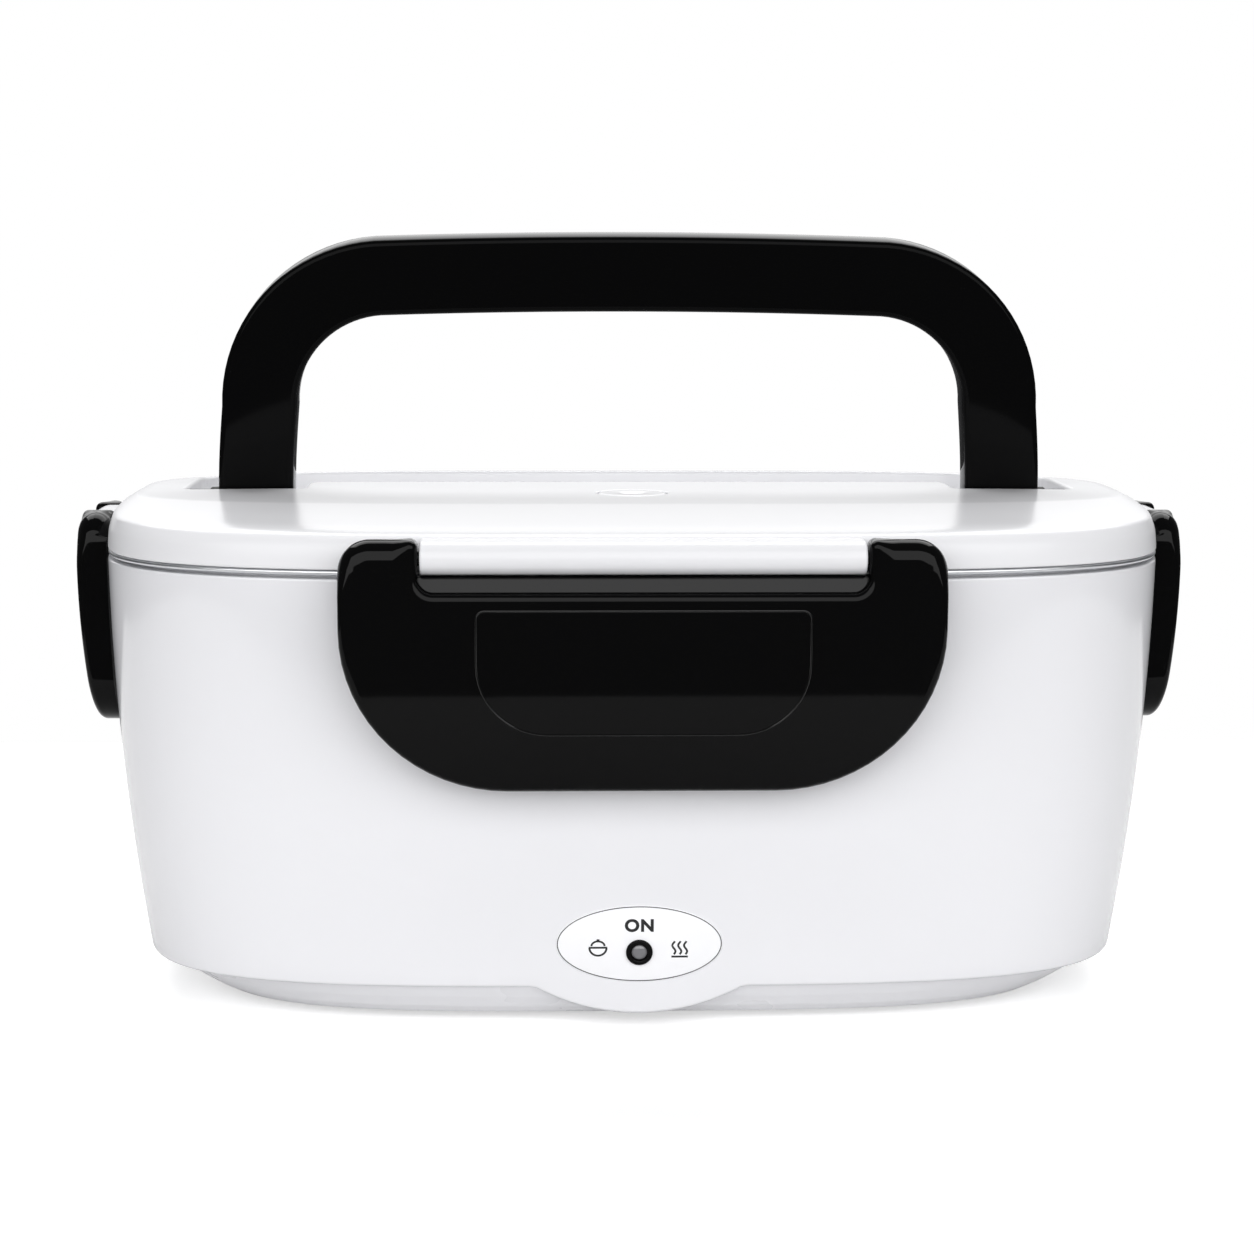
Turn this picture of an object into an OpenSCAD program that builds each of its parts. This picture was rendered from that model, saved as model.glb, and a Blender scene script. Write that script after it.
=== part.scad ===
// Electric lunch box: drafted oval housing with a warming plate, steel tray, lift-off lid,
// folding bail handle and four clip latches. Millimetres. The origin is the centre of the
// foot plane, +Z is up, +X is to the right and the lamp panel faces -Y.

/* [Housing] */
// Half length of the body at the seam under the lid
body_a = 113.3; // [95:0.1:136]
// Half depth of the body at the seam under the lid
body_b = 77.7; // [70:0.1:94]
// Squareness of the oval outlines, 2 is an ellipse
body_n = 3.7; // [3:0.1:5]
// Draft angle of the side walls, in degrees
draft = 7.8; // [5:0.1:9]
// Height of the housing rim above the floor
rim_z = 95.3; // [80:0.1:115]
// Height of the lower edge of the housing
edge_z = 9.2; // [8:0.1:10]
// Wall thickness of the housing
wall = 2.4; // [1.8:0.1:3]
// Width of the thickened seat round the rim
rim_seat = 4.4; // [3.8:0.1:5]
// Height of the top face of the inner floor
floor_z = 25; // [24:0.1:30]
// Thickness of the inner floor
floor_t = 2; // [1.6:0.1:2.4]

/* [Base] */
// Height of the underside of the base above the floor
base_z = 1.6; // [1.2:0.1:2]
// How far the foot of the plinth lies inside the edge of the housing
plinth_in = 7.4; // [6:0.1:9]
// Thickness of the base cover
base_t = 2.2; // [1.8:0.1:2.6]
// Radius of a rubber foot
foot_r = 6; // [5:0.5:7]
// Distance of the feet from the end of the body at the seam
foot_in = 47.3; // [40:0.1:60]
// Distance of the feet from the middle, along Y
foot_y = 38; // [30:1:40]
// Distance of the screws from the end of the body at the seam
screw_in = 31.3; // [31.3:0.1:50]
// Distance of the screws from the middle, along Y
screw_y = 27; // [20:1:30]
// Radius of a screw shank
screw_r = 1.5; // [1.2:0.1:1.8]

/* [Lamp panel] */
// Half width of the oval panel
panel_a = 17.1; // [14:0.1:19]
// Half height of the oval panel
panel_b = 8.4; // [6:0.1:8.6]
// Height of the middle of the panel
panel_z = 18.8; // [18:0.1:20]
// Height of the middle of the lamp
lamp_z = 17; // [16:0.1:18]
// Radius of the lamp bezel
bezel_r = 2.75; // [2:0.05:3.2]
// Radius of the lamp lens
lens_r = 1.65; // [1.2:0.05:1.8]
// Half width of the skirt below the panel, at the edge of the housing
skirt_a = 21.5; // [18:0.1:26]
// Height of the lowest point of the skirt
skirt_z = 3.3; // [3:0.1:4]

/* [Power inlet] */
// Height of the middle of the inlet, at its mouth
inlet_z = 15.6; // [15:0.1:16.5]
// Half width of the plug recess
inlet_a = 8.3; // [7:0.1:9]
// Half height of the plug recess
inlet_b = 3.9; // [3.5:0.1:4]
// Depth of the plug recess
inlet_depth = 10.5; // [8:0.1:11]
// Radius of a contact pin
pin_r = 1.2; // [0.8:0.05:1.3]
// Radius of the shank that holds a contact pin
shank_r = 1.4; // [1.3:0.05:1.6]
// Distance between the two contact pins
pin_pitch = 8.6; // [7:0.1:9]

/* [Tray and insert] */
// Sheet thickness of the steel tray
sheet = 0.6; // [0.4:0.1:0.8]
// Diameter of the rolled edge of the tray
bead_d = 1; // [0.8:0.1:1.4]
// Depth of the step that carries the insert, below the flange
step_drop = 6; // [4:0.5:8]
// Width of that step
step_w = 2.5; // [2:0.1:3]
// Radius between the floor and the wall of the tray
tray_r = 9; // [6:0.5:12]
// Depth of the plastic insert below the step
insert_h = 40; // [25:1:50]
// Place of the straight wall of the insert
insert_x = 34; // [20:1:50]
// Wall thickness of the insert
insert_t = 1.4; // [1:0.1:2]

/* [Lid] */
// Height of the lid from its lower edge to its crown
lid_h = 10; // [9:0.1:12]
// Wall thickness of the lid
lid_t = 1.8; // [1.4:0.1:2.2]
// Place of the front edge of the handle recess
recess_y0 = -4.9; // [-7:0.1:-4.8]
// Place of the rear edge of the island between the handle legs
island_y = 12; // [8:0.5:20]
// Radius of the vent plug cap
vent_r = 7.5; // [6:0.1:9]
// Place of the vent plug
vent_y = -16; // [-24:1:-14]

/* [Handle] */
// Distance of the outside of a handle leg from the side of the body
handle_in = 21.3; // [20:0.1:26]
// Distance of the folded handle from the back of the body
handle_back = 16.1; // [15:0.1:22]
// Width of the bail seen from the front
handle_w = 16.6; // [12:0.1:18]
// Thickness of the bail
handle_t = 9.4; // [8:0.1:9.6]
// Outside corner radius of the bail
handle_r = 37; // [28:0.5:40]
// Rise of the crossbar in the middle
handle_arch = 0.9; // [0:0.1:2]
// Angle that the raised handle leans forward, in degrees
handle_lean = 8; // [0:1:10]

/* [Latches] */
// Half width of the front and back latches
latch_a = 59.7; // [50:0.1:70]
// Half width of the end latches
side_latch_a = 19.5; // [16:0.1:26]
// Height of the front and back latches below their hinge axis
latch_drop = 47.2; // [40:0.1:50]
// Height of the end latches below their hinge axis
side_latch_drop = 43; // [38:0.1:46]
// Width of a horn of the front and back latches
horn_w = 15.6; // [12:0.1:18]
// Width of a horn of the end latches
side_horn_w = 12; // [9:0.1:13]
// Radius of the rounded top of the horns
horn_r = 3.7; // [3.3:0.1:4]
// Radius of the lower corners of the front and back latches
latch_corner = 33; // [20:1:36]
// Radius of the lower corners of the end latches
side_latch_corner = 11; // [8:1:15]
// Skin thickness of the latches
latch_skin = 2.2; // [1.6:0.1:2.6]
// Radius of a latch pin
latch_pin_r = 1.5; // [1.2:0.1:1.8]

/* [Fits] */
// Gap between the housing and the rolled edge of the tray
seam_gap = 0.6; // [0.4:0.1:0.8]
// Gap between the latches and the walls
latch_gap = 0.6; // [0.5:0.05:1]
// Radial clearance of the hinge pins
pin_fit = 0.05; // [0.02:0.01:0.1]
// Clearance between fixed pieces that slip together
slip = 0.3; // [0.2:0.05:0.4]
// Clearance of the folded handle in its recess
handle_gap = 1; // [0.6:0.1:1.6]

/* [Hidden] */

ring_pts = 60;                                  // points round an oval
arc_pts = 6;                                    // steps in a small corner
eps = 0.02;                                     // overrun of a cut past a face
far = 200;                                      // a length beyond the object
slope = tan(draft);                             // inward step of a wall per millimetre down
seam_z = rim_z + seam_gap + bead_d;             // top of the rolled edge
seat_z = rim_z + seam_gap;                      // underside of the tray flange
flange_z = seat_z + sheet;                      // top of the tray flange
lid_z = seam_z + 0.1;                           // lower edge of the lid
top_z = lid_z + lid_h;                          // crown of the lid
foot_x = body_a - foot_in;
screw_x = body_a - screw_in;
floor_under = floor_z - floor_t;
base_top = base_z + base_t;                     // inside of the base cover
plate_t = 1.5;                                  // heater plate
tray_z = floor_z + plate_t;                     // underside of the tray
tray_in = rim_seat + 3 * slip;                  // tray wall, measured in from the outline
step_z = flange_z - step_drop;                  // top of the insert step
liner_in = tray_in + sheet + 1.3;               // liner wall, measured in from the outline
liner_t = 1.4;
liner_z = flange_z - 1.8;                       // underside of the liner
gasket_top = flange_z + 2.5;

function power(v, e) = sign(v) * pow(abs(v), e);
function half_a(z) = body_a - slope * (seam_z - min(z, seam_z));
function half_b(z) = body_b - slope * (seam_z - min(z, seam_z));
// Closed oval of half sizes a and b at height z
function oval(a, b, z) = [for (i = [0:ring_pts - 1]) let (t = 360 * i / ring_pts)
    [a * power(cos(t), 2 / body_n), b * power(sin(t), 2 / body_n), z]];
// Oval that lies a distance inside the drafted outline
function inset_oval(inset, z) = oval(half_a(z) - inset, half_b(z) - inset, z);
function arc(cx, cy, r, from, to, steps = arc_pts) = [for (i = [0:steps])
    let (t = from + (to - from) * i / steps) [cx + r * cos(t), cy + r * sin(t)]];
// Rounded rectangle about the origin
function round_rect(a, b, r) = concat(arc(a - r, b - r, r, 0, 90), arc(r - a, b - r, r, 90, 180),
    arc(r - a, r - b, r, 180, 270), arc(a - r, r - b, r, 270, 360));
function ellipse(a, b) = [for (t = [0:6:354]) [a * cos(t), b * sin(t)]];

// Solid through a stack of closed rings with equal counts, capped at both ends
module loft(rings) {
    n = len(rings[0]);
    last = len(rings) - 1;
    sides = [for (k = [0:last - 1], i = [0:n - 1]) let (j = (i + 1) % n)
        [k * n + i, (k + 1) * n + i, (k + 1) * n + j, k * n + j]];
    ends = [[for (i = [0:n - 1]) i], [for (i = [n - 1:-1:0]) last * n + i]];
    polyhedron([for (r = rings) each r], concat(sides, ends));
}

// Solid of revolution round the oval: profile is a list of [inset, height]
module oval_body(profile) {
    loft([for (p = profile) inset_oval(p[0], p[1])]);
}

// Local frame on the front wall (side = -1) or back wall (side = 1), local Z points out
module on_wall(side, z) {
    translate([0, side * half_b(z), z]) rotate([-side * (90 + draft), 0, 0]) children();
}

module at_corners(x, y) {
    for (sx = [-1, 1], sy = [-1, 1]) translate([sx * x, sy * y, 0]) children();
}

/* ---------- Housing ---------- */

ledge_drop = 5.3;       // top of the catch ledge below the rim
ledge_h = 2;
ledge_out = 1.8;
boss_r = 3.6;
boss_z = edge_z + 0.2;
panel_sink = 0.5;       // depth of the panel seat
panel_t = 0.7;
inlet_wall = 1.3;
stud_y = 34;            // heater studs
stud_x = -14;
stud_r = 1.5;
window_a = 50;          // opening of the inner floor under the plate
window_b = 28;

housing_profile = [
    [0.8, edge_z], [0, edge_z + 0.8], [0, rim_z - 0.5], [0.5, rim_z],
    [wall - 0.9, rim_z], [wall - 0.9, seat_z], [rim_seat, seat_z],
    [rim_seat, rim_z - 5], [wall, rim_z - 8], [wall, floor_z + 5],
    [wall + 1.5, floor_z + 1.5], [wall + 5, floor_z]];

// Outside of the plinth below the housing
plinth_profile = [[plinth_in, base_z], [plinth_in - 1.2, base_z + 0.6], [4.6, base_z + 4.2],
    [1.4, edge_z - 0.8], [1, edge_z - 0.1]];

module wall_skirt(side) {
    skirt_r = (skirt_a * skirt_a + pow(edge_z - skirt_z, 2)) / (2 * (edge_z - skirt_z));
    difference() {
        intersection() {
            loft([inset_oval(0, skirt_z - 1), inset_oval(0, edge_z + 5)]);
            translate([0, side > 0 ? body_b : 0, 0]) rotate([90, 0, 0]) linear_extrude(height = body_b)
                polygon(arc(0, skirt_z + skirt_r, skirt_r, 231, 309, 26));
        }
        loft(concat([for (p = plinth_profile) inset_oval(p[0] - 0.2, p[1] - 0.1)], [inset_oval(0.8, edge_z + 6)]));
    }
}

module catch_ledge(turn, reach, half) {
    rotate([0, 0, turn]) translate([-half, -reach - ledge_out, rim_z - ledge_drop - ledge_h])
        cube([2 * half, ledge_out + wall / 2, ledge_h]);
}

module housing() {
    color("white") difference() {
        union() {
            difference() {
                oval_body(housing_profile);
                oval_body([[wall, edge_z - 1], [wall, floor_under - 3], [wall + 3, floor_under]]);
            }
            wall_skirt(-1);
            wall_skirt(1);
            ledge_z = rim_z - ledge_drop;
            for (turn = [0, 180]) catch_ledge(turn, half_b(ledge_z), latch_a - horn_w - 10);
            for (turn = [90, 270]) catch_ledge(turn, half_a(ledge_z), side_latch_a - 7);
            at_corners(screw_x, screw_y) translate([0, 0, boss_z])
                cylinder(r = boss_r, h = floor_under - boss_z + 1, $fn = 32);
            for (sx = [-1, 1]) on_wall(-1, lamp_z) translate([sx * 5, 0, -8])
                cylinder(r = 1.4, h = 8 - wall / 2, $fn = 24);
        }
        linear_extrude(height = far) polygon(round_rect(window_a, window_b, 6));
        for (sy = [-1, 1]) translate([stud_x, sy * stud_y, 0]) cylinder(r = stud_r + slip, h = far, $fn = 24);
        at_corners(screw_x, screw_y) cylinder(r = screw_r + pin_fit, h = 19, $fn = 24);
        on_wall(-1, panel_z) translate([0, 0, -panel_sink]) linear_extrude(height = 3)
            polygon(ellipse(panel_a + 0.1, panel_b + 0.1));
        on_wall(-1, lamp_z) translate([0, 0, -6]) cylinder(r = 2.3 + pin_fit, h = 10, $fn = 32);
        on_wall(1, inlet_z) translate([0, 0, -6]) linear_extrude(height = 10)
            polygon(round_rect(inlet_a + inlet_wall + 0.1, inlet_b + inlet_wall + 0.1, inlet_b + inlet_wall));
    }
}

/* ---------- Base ---------- */

base_profile = concat(plinth_profile, [
    [1.1, edge_z], [wall + slip, edge_z], [wall + slip, edge_z + 3], [wall + slip + 1.6, edge_z + 3],
    [wall + slip + 1.6, edge_z], [5.4 + base_t, base_z + 4.2], [plinth_in + base_t, base_top]]);
head_r = 2.9;
head_seat = base_z + 3;

module base_cover() {
    color("gainsboro") difference() {
        union() {
            oval_body(base_profile);
            at_corners(screw_x, screw_y) translate([0, 0, base_z + 0.5])
                cylinder(r = boss_r, h = boss_z - base_z - 0.5, $fn = 32);
        }
        at_corners(screw_x, screw_y) translate([0, 0, -1]) {
            cylinder(r = screw_r + 0.2, h = 20, $fn = 24);
            cylinder(r = head_r + 0.2, h = head_seat + 1, $fn = 24);
        }
        at_corners(foot_x, foot_y) translate([0, 0, -1]) cylinder(r = foot_r + 0.2, h = base_z + 2, $fn = 32);
        // the spigot stops either side of the power inlet
        translate([-inlet_a - inlet_wall - 1, 0, edge_z]) cube([2 * (inlet_a + inlet_wall + 1), far, far]);
    }
}

module feet() {
    color("dimgray") at_corners(foot_x, foot_y) rotate_extrude($fn = 48)
        polygon([[0, 0], [foot_r - 1, 0], [foot_r - 0.3, 0.5], [foot_r, base_z], [foot_r, base_z + 1], [0, base_z + 1]]);
}

module base_screws() {
    color("silver") at_corners(screw_x, screw_y) difference() {
        rotate_extrude($fn = 32) polygon([[0, head_seat - 2], [head_r - 0.8, head_seat - 2],
            [head_r, head_seat - 1.2], [head_r, head_seat], [screw_r, head_seat], [screw_r, 16.5], [0, 18]]);
        for (t = [0, 90]) rotate([0, 0, t]) translate([-1.7, -0.35, 0]) cube([3.4, 0.7, head_seat - 1]);
    }
}

/* ---------- Warming parts ---------- */

element_t = 4;
element_a = 28;
element_b = 20;
tab_len = 2.4;
clamp_t = 1;
clamp_a = 8;
clamp_end = stud_y + 6;
nut_r = 3.2;
nut_h = 2.4;
stat_x = 34;
stat_r = 8;
stat_h = 5;
fuse_r = 2.1;
fuse_x = 2;
fuse_len = 13;
fuse_y = element_b + tab_len + 2.8;
pad_h = 6;

module heater_plate() {
    color("silver") union() {
        translate([0, 0, floor_z]) linear_extrude(height = plate_t) polygon(round_rect(68, 44, 16));
        for (sy = [-1, 1]) translate([stud_x, sy * stud_y, floor_under - 5])
            cylinder(r = stud_r, h = floor_t + 5 + plate_t / 2, $fn = 24);
    }
}

module heating_element() {
    color("ivory") translate([stud_x, 0, floor_z - element_t]) {
        linear_extrude(height = element_t) polygon(round_rect(element_a, element_b, 2));
        for (sx = [-1, 1]) translate([sx * (element_a - 5) - 2, element_b - 1, 1]) cube([4, 1 + tab_len, 1.2]);
    }
}

module element_clamp() {
    low = floor_z - element_t - clamp_t;
    high = floor_under - clamp_t;
    bend_y = stud_y - nut_r - 1.2;
    color("lightgray") difference() {
        translate([stud_x - clamp_a, 0, 0]) rotate([90, 0, 90]) linear_extrude(height = 2 * clamp_a)
            polygon([[-clamp_end, high], [-clamp_end, floor_under], [-bend_y, floor_under],
                [-element_b - 3, low + clamp_t], [element_b + 3, low + clamp_t], [bend_y, floor_under],
                [clamp_end, floor_under], [clamp_end, high], [bend_y + 0.5, high], [element_b + 3.5, low],
                [-element_b - 3.5, low], [-bend_y - 0.5, high]]);
        for (sy = [-1, 1]) translate([stud_x, sy * stud_y, 0]) cylinder(r = stud_r + 0.2, h = far, $fn = 24);
    }
}

module clamp_nuts() {
    color("gold") for (sy = [-1, 1]) translate([stud_x, sy * stud_y, floor_under - clamp_t - nut_h]) difference() {
        cylinder(r = nut_r, h = nut_h, $fn = 6);
        translate([0, 0, -1]) cylinder(r = stud_r + pin_fit, h = nut_h + 2, $fn = 24);
    }
}

module insulation_pad() {
    color("khaki") translate([0, 0, base_top]) linear_extrude(height = pad_h) polygon(round_rect(54, 26, 4));
}

module thermostat() {
    color("darkgray") translate([stat_x, 0, floor_z - stat_h]) {
        cylinder(r = stat_r, h = stat_h, $fn = 48);
        translate([0, 0, -2]) cylinder(r = stat_r - 1.5, h = 2.5, $fn = 48);
        for (sy = [-1, 1]) translate([-1.6, sy * 4 - 0.4, -5]) cube([3.2, 0.8, 4]);
    }
}

module thermal_fuse() {
    color("burlywood") translate([fuse_x, fuse_y, floor_z - fuse_r]) rotate([0, 90, 0]) {
        cylinder(r = fuse_r, h = fuse_len, $fn = 32);
        translate([0, 0, -3]) cylinder(r = 0.8, h = fuse_len + 6, $fn = 16);
    }
}

/* ---------- Leads ---------- */

lead_r = 0.9;
lead_sides = 8;
pin_tail_y = half_b(inlet_z) - cos(draft) * (inlet_depth + 5.2);
pin_tail_z = inlet_z + sin(draft) * (inlet_depth + 5.2);
lead_routes = [
    // inlet to the thermostat
    [[pin_pitch / 2, pin_tail_y, pin_tail_z], [pin_pitch / 2, pin_tail_y - 3, pin_tail_z], [14, 41, 16], [26, 30, 14],
        [stat_x, 16, 12.6], [stat_x, 6.5, 12.2], [stat_x, 4.2, 13.3], [stat_x, 4, 14.85]],
    // thermostat to the fuse
    [[stat_x, -4, 14.85], [stat_x - 0.3, -4.2, 13.3], [stat_x - 3, -6, 12.2], [24, -2, 12.4], [21, 12, 13],
        [20.5, 20, 18],
        [19.5, fuse_y, floor_z - fuse_r], [fuse_x + fuse_len + 3.1, fuse_y, floor_z - fuse_r]],
    // inlet to the element
    [[-pin_pitch / 2, pin_tail_y, pin_tail_z], [-pin_pitch / 2, pin_tail_y - 3, pin_tail_z], [-16, 40, 16],
        [-30, 32, 17], [stud_x - element_a + 5, 28, 20.5],
        [stud_x - element_a + 5, element_b + tab_len + 0.5, floor_z - 2.4]],
    // lamp board to the front of the compartment
    [[3, 9.9 - half_b(lamp_z), lamp_z + 1], [3, 13 - half_b(lamp_z), lamp_z + 1], [10, -45, 14], [26, -38, 12.5],
        [38, -22, 12.5], [stat_x + 7, -9, 14.5], [stat_x + 4.5, -4.4, 16.8], [stat_x + 1.8, -4, 17]]];

function unit(v) = v / norm(v);
function heading(p, i) = unit(p[min(i + 1, len(p) - 1)] - p[max(i - 1, 0)]);
// Ring of a lead: its side axis is level, so the sections don't twist
function lead_ring(c, d, r) = let (side = unit(cross([0, 0.2, 1], d)), up = cross(d, side))
    [for (k = [0:lead_sides - 1]) let (t = 360 * k / lead_sides) c + r * (cos(t) * side + sin(t) * up)];

module inner_leads() {
    for (p = lead_routes) color("firebrick")
        loft([for (i = [0:len(p) - 1]) lead_ring(p[i], heading(p, i), lead_r)]);
}

/* ---------- Lamp and panel ---------- */

bezel_in = lens_r + pin_fit;
lamp_seat = panel_t - panel_sink;       // face of the panel above the wall

module indicator_panel() {
    color("whitesmoke") difference() {
        on_wall(-1, panel_z) translate([0, 0, -panel_sink]) linear_extrude(height = panel_t)
            polygon(ellipse(panel_a, panel_b));
        on_wall(-1, lamp_z) translate([0, 0, -5]) cylinder(r = 2.3 + pin_fit, h = 10, $fn = 32);
    }
}

module lamp_bezel() {
    color([0.05, 0.05, 0.05]) on_wall(-1, lamp_z) rotate_extrude($fn = 48)
        polygon([[bezel_in, -6], [2.3, -6], [2.3, lamp_seat], [bezel_r, lamp_seat], [bezel_r, lamp_seat + 0.4],
            [bezel_r - 0.3, lamp_seat + 0.7], [bezel_in + 0.1, lamp_seat + 0.7], [bezel_in, lamp_seat + 0.5]]);
}

module lamp_lens() {
    dome = 0.8;
    dome_r = (lens_r * lens_r + dome * dome) / (2 * dome);
    half = asin(lens_r / dome_r);
    color("gray") on_wall(-1, lamp_z) rotate_extrude($fn = 48)
        polygon(concat([[0, -8], [lens_r, -8]], arc(0, dome - dome_r, dome_r, 90 - half, 90)));
}

module lamp_board() {
    color("darkgreen") on_wall(-1, lamp_z) translate([0, 0, -9.4])
        linear_extrude(height = 1.4) polygon(round_rect(8, 3.8, 0.8));
}

/* ---------- Power inlet ---------- */

inlet_body = inlet_depth + 1.8;

module power_inlet() {
    outer = round_rect(inlet_a + inlet_wall, inlet_b + inlet_wall, inlet_b + inlet_wall - 0.1);
    flange = round_rect(inlet_a + inlet_wall + 1.4, inlet_b + inlet_wall + 0.9, inlet_b + inlet_wall + 0.8);
    color([0.08, 0.08, 0.08]) on_wall(1, inlet_z) difference() {
        union() {
            translate([0, 0, -inlet_body]) linear_extrude(height = inlet_body + 0.5) polygon(outer);
            linear_extrude(height = 0.9) polygon(flange);
        }
        translate([0, 0, -inlet_depth]) linear_extrude(height = far)
            polygon(round_rect(inlet_a, inlet_b, inlet_b - 0.1));
        for (sx = [-1, 1]) translate([sx * pin_pitch / 2, 0, -far / 2]) cylinder(r = shank_r, h = far, $fn = 24);
    }
}

module inlet_pins() {
    tail = inlet_depth + 5;
    color("gold") on_wall(1, inlet_z) for (sx = [-1, 1]) translate([sx * pin_pitch / 2, 0, 0])
        rotate_extrude($fn = 32) polygon([[0, -tail], [shank_r - 0.3, -tail], [shank_r, 0.3 - tail],
            [shank_r, -inlet_depth], [pin_r, -inlet_depth], [pin_r, -2], [pin_r - 0.4, -1.5], [0, -1.5]]);
}

/* ---------- Tray and insert ---------- */

// Profile of the tray: outside upwards, round the rolled edge and down the inside
bead_r = bead_d / 2;
wall_in = tray_in + step_w;
tray_profile = concat(
    arc(wall_in + tray_r, tray_z + tray_r, tray_r, 270, 180, 3),
    [[wall_in, step_z - sheet - 0.4], [wall_in - 0.4, step_z - sheet], [tray_in + 0.3, step_z - sheet],
        [tray_in, step_z - sheet + 0.3], [tray_in, seat_z - 0.5], [tray_in - 0.5, seat_z]],
    [for (t = [-90, -30, 30, 90]) [bead_r - bead_r * cos(t) + 0.05, seat_z + bead_r + bead_r * sin(t)]],
    [[bead_d + 0.6, flange_z], [tray_in + 0.1, flange_z], [tray_in + sheet, flange_z - 0.5],
        [tray_in + sheet, step_z + 0.3], [tray_in + sheet + 0.3, step_z], [wall_in + sheet - 0.4, step_z],
        [wall_in + sheet, step_z - 0.4]],
    arc(wall_in + tray_r, tray_z + tray_r, tray_r - sheet, 180, 270, 3));

module steel_tray() {
    color("lightsteelblue") oval_body(tray_profile);
}

insert_pts = 44;
insert_rim_in = tray_in + sheet + 2 * slip;
insert_in = wall_in + sheet + 2 * slip;
insert_z = step_z - insert_h;
// Right part of the inset outline, closed by a straight wall at x0
function d_ring(inset, z, x0) = let (a = half_a(z) - inset, b = half_b(z) - inset,
    t0 = acos(pow(x0 / a, body_n / 2)))
    [for (i = [0:insert_pts]) let (t = t0 * (2 * i / insert_pts - 1))
        [a * power(cos(t), 2 / body_n), b * power(sin(t), 2 / body_n), z]];
insert_profile = [
    [insert_in + 6, insert_z, 4], [insert_in + 1.8, insert_z + 1.8, 1.2], [insert_in, insert_z + 6, 0],
    [insert_in, step_z, 0], [insert_rim_in, step_z, -2.2], [insert_rim_in, step_z + insert_t, -2.2],
    [insert_in + insert_t, step_z + insert_t, insert_t], [insert_in + insert_t, insert_z + 6, insert_t],
    [insert_in + insert_t + 1.8, insert_z + insert_t + 1.2, insert_t + 1.2],
    [insert_in + insert_t + 5, insert_z + insert_t, insert_t + 4]];

module food_insert() {
    color("honeydew") loft([for (p = insert_profile) d_ring(p[0], p[1], insert_x + p[2])]);
}

/* ---------- Lid ---------- */

// Outer form: [inset along X, inset along Y, depth below the crown]
crown = [
    [0.35, 0.35, lid_h], [0, 0, lid_h - 0.35], [0.3, 0.3, 5.9], [0.7, 0.9, 4.4], [1.1, 2.3, 3.1],
    [1.5, 5.7, 2.4], [2.1, 17.7, 1.6], [4.2, 38.7, 0.3], [50, 62, 0]];
cavity = [
    [lid_t + 0.3, lid_t + 0.3, lid_h + 1], [lid_t + 0.4, lid_t + 0.4, 5.4], [lid_t + 1.2, lid_t + 1.6, 4.9],
    [lid_t + 1.8, lid_t + 5, 4.3], [lid_t + 3, 24, 3.3], [lid_t + 6, 40, 2.1], [50, 62, lid_t]];
function lid_rings(rows) = [for (r = rows) oval(body_a - r[0], body_b - r[1], top_z - r[2])];

pivot_y = 1;
pivot_z = lid_z + 6.2;
hub_r = 3.9;
pivot_r = 2.4;
handle_a = body_a - handle_in;                      // outside of a leg at the pivot
recess_a = handle_a + 7.5;
island_a = handle_a - handle_w - 2.6;
recess_y1 = body_b - handle_back + handle_gap;
recess_r = max(handle_r - 0.5, 0.3 * body_a);       // the corner stays inside the liner
recess_z = pivot_z - handle_t / 2 - 0.3;
handle_reach = body_b - handle_back - pivot_y;      // pivot to the outside of the crossbar

// Outline of the handle recess, grown outwards all round
function recess_outline(grow) = let (a = recess_a + grow, y0 = recess_y0 - grow, y1 = recess_y1 + grow,
    in_a = island_a - grow, in_y = island_y - grow, r = 3)
    concat(
        arc(a - recess_r - grow, y1 - recess_r - grow, recess_r + grow, 0, 90, 12),
        arc(recess_r + grow - a, y1 - recess_r - grow, recess_r + grow, 90, 180, 12),
        arc(r - a, y0 + r, r, 180, 270), arc(-in_a - r / 2, y0 + r / 2, r / 2, 270, 360, 3),
        arc(r - in_a, in_y - r, r, 180, 90), arc(in_a - r, in_y - r, r, 90, 0),
        arc(in_a + r / 2, y0 + r / 2, r / 2, 180, 270, 3), arc(a - r, y0 + r, r, 270, 360));

lug_r = horn_r - 0.4;
axis_out = latch_gap + horn_r;                      // hinge axis from the side of the lid
front_axis_z = lid_z + 3.2;
back_axis_z = lid_z + 2;
side_axis_z = lid_z + 1.85;
pin_len = 3.2;
post_r = 2.4;
liner_flange_z = gasket_top + 1.2;

module lug(turn, reach, half, z) {
    web_low = max(-lug_r, lid_z - z);
    rotate([0, 0, turn]) translate([0, -reach - axis_out, z]) difference() {
        rotate([90, 0, 90]) translate([0, 0, -half]) linear_extrude(height = 2 * half) union() {
            circle(r = lug_r, $fn = 48);
            translate([0, web_low]) square([axis_out + 1, lug_r - web_low]);
        }
        for (sx = [-1, 1]) translate([sx * (half - pin_len - 0.4), 0, 0]) rotate([0, 90 * sx, 0])
            cylinder(r = latch_pin_r + pin_fit, h = far, $fn = 32);
    }
}

lug_half = latch_a - horn_w - 0.4;
side_lug_half = side_latch_a - side_horn_w - 0.4;

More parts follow.
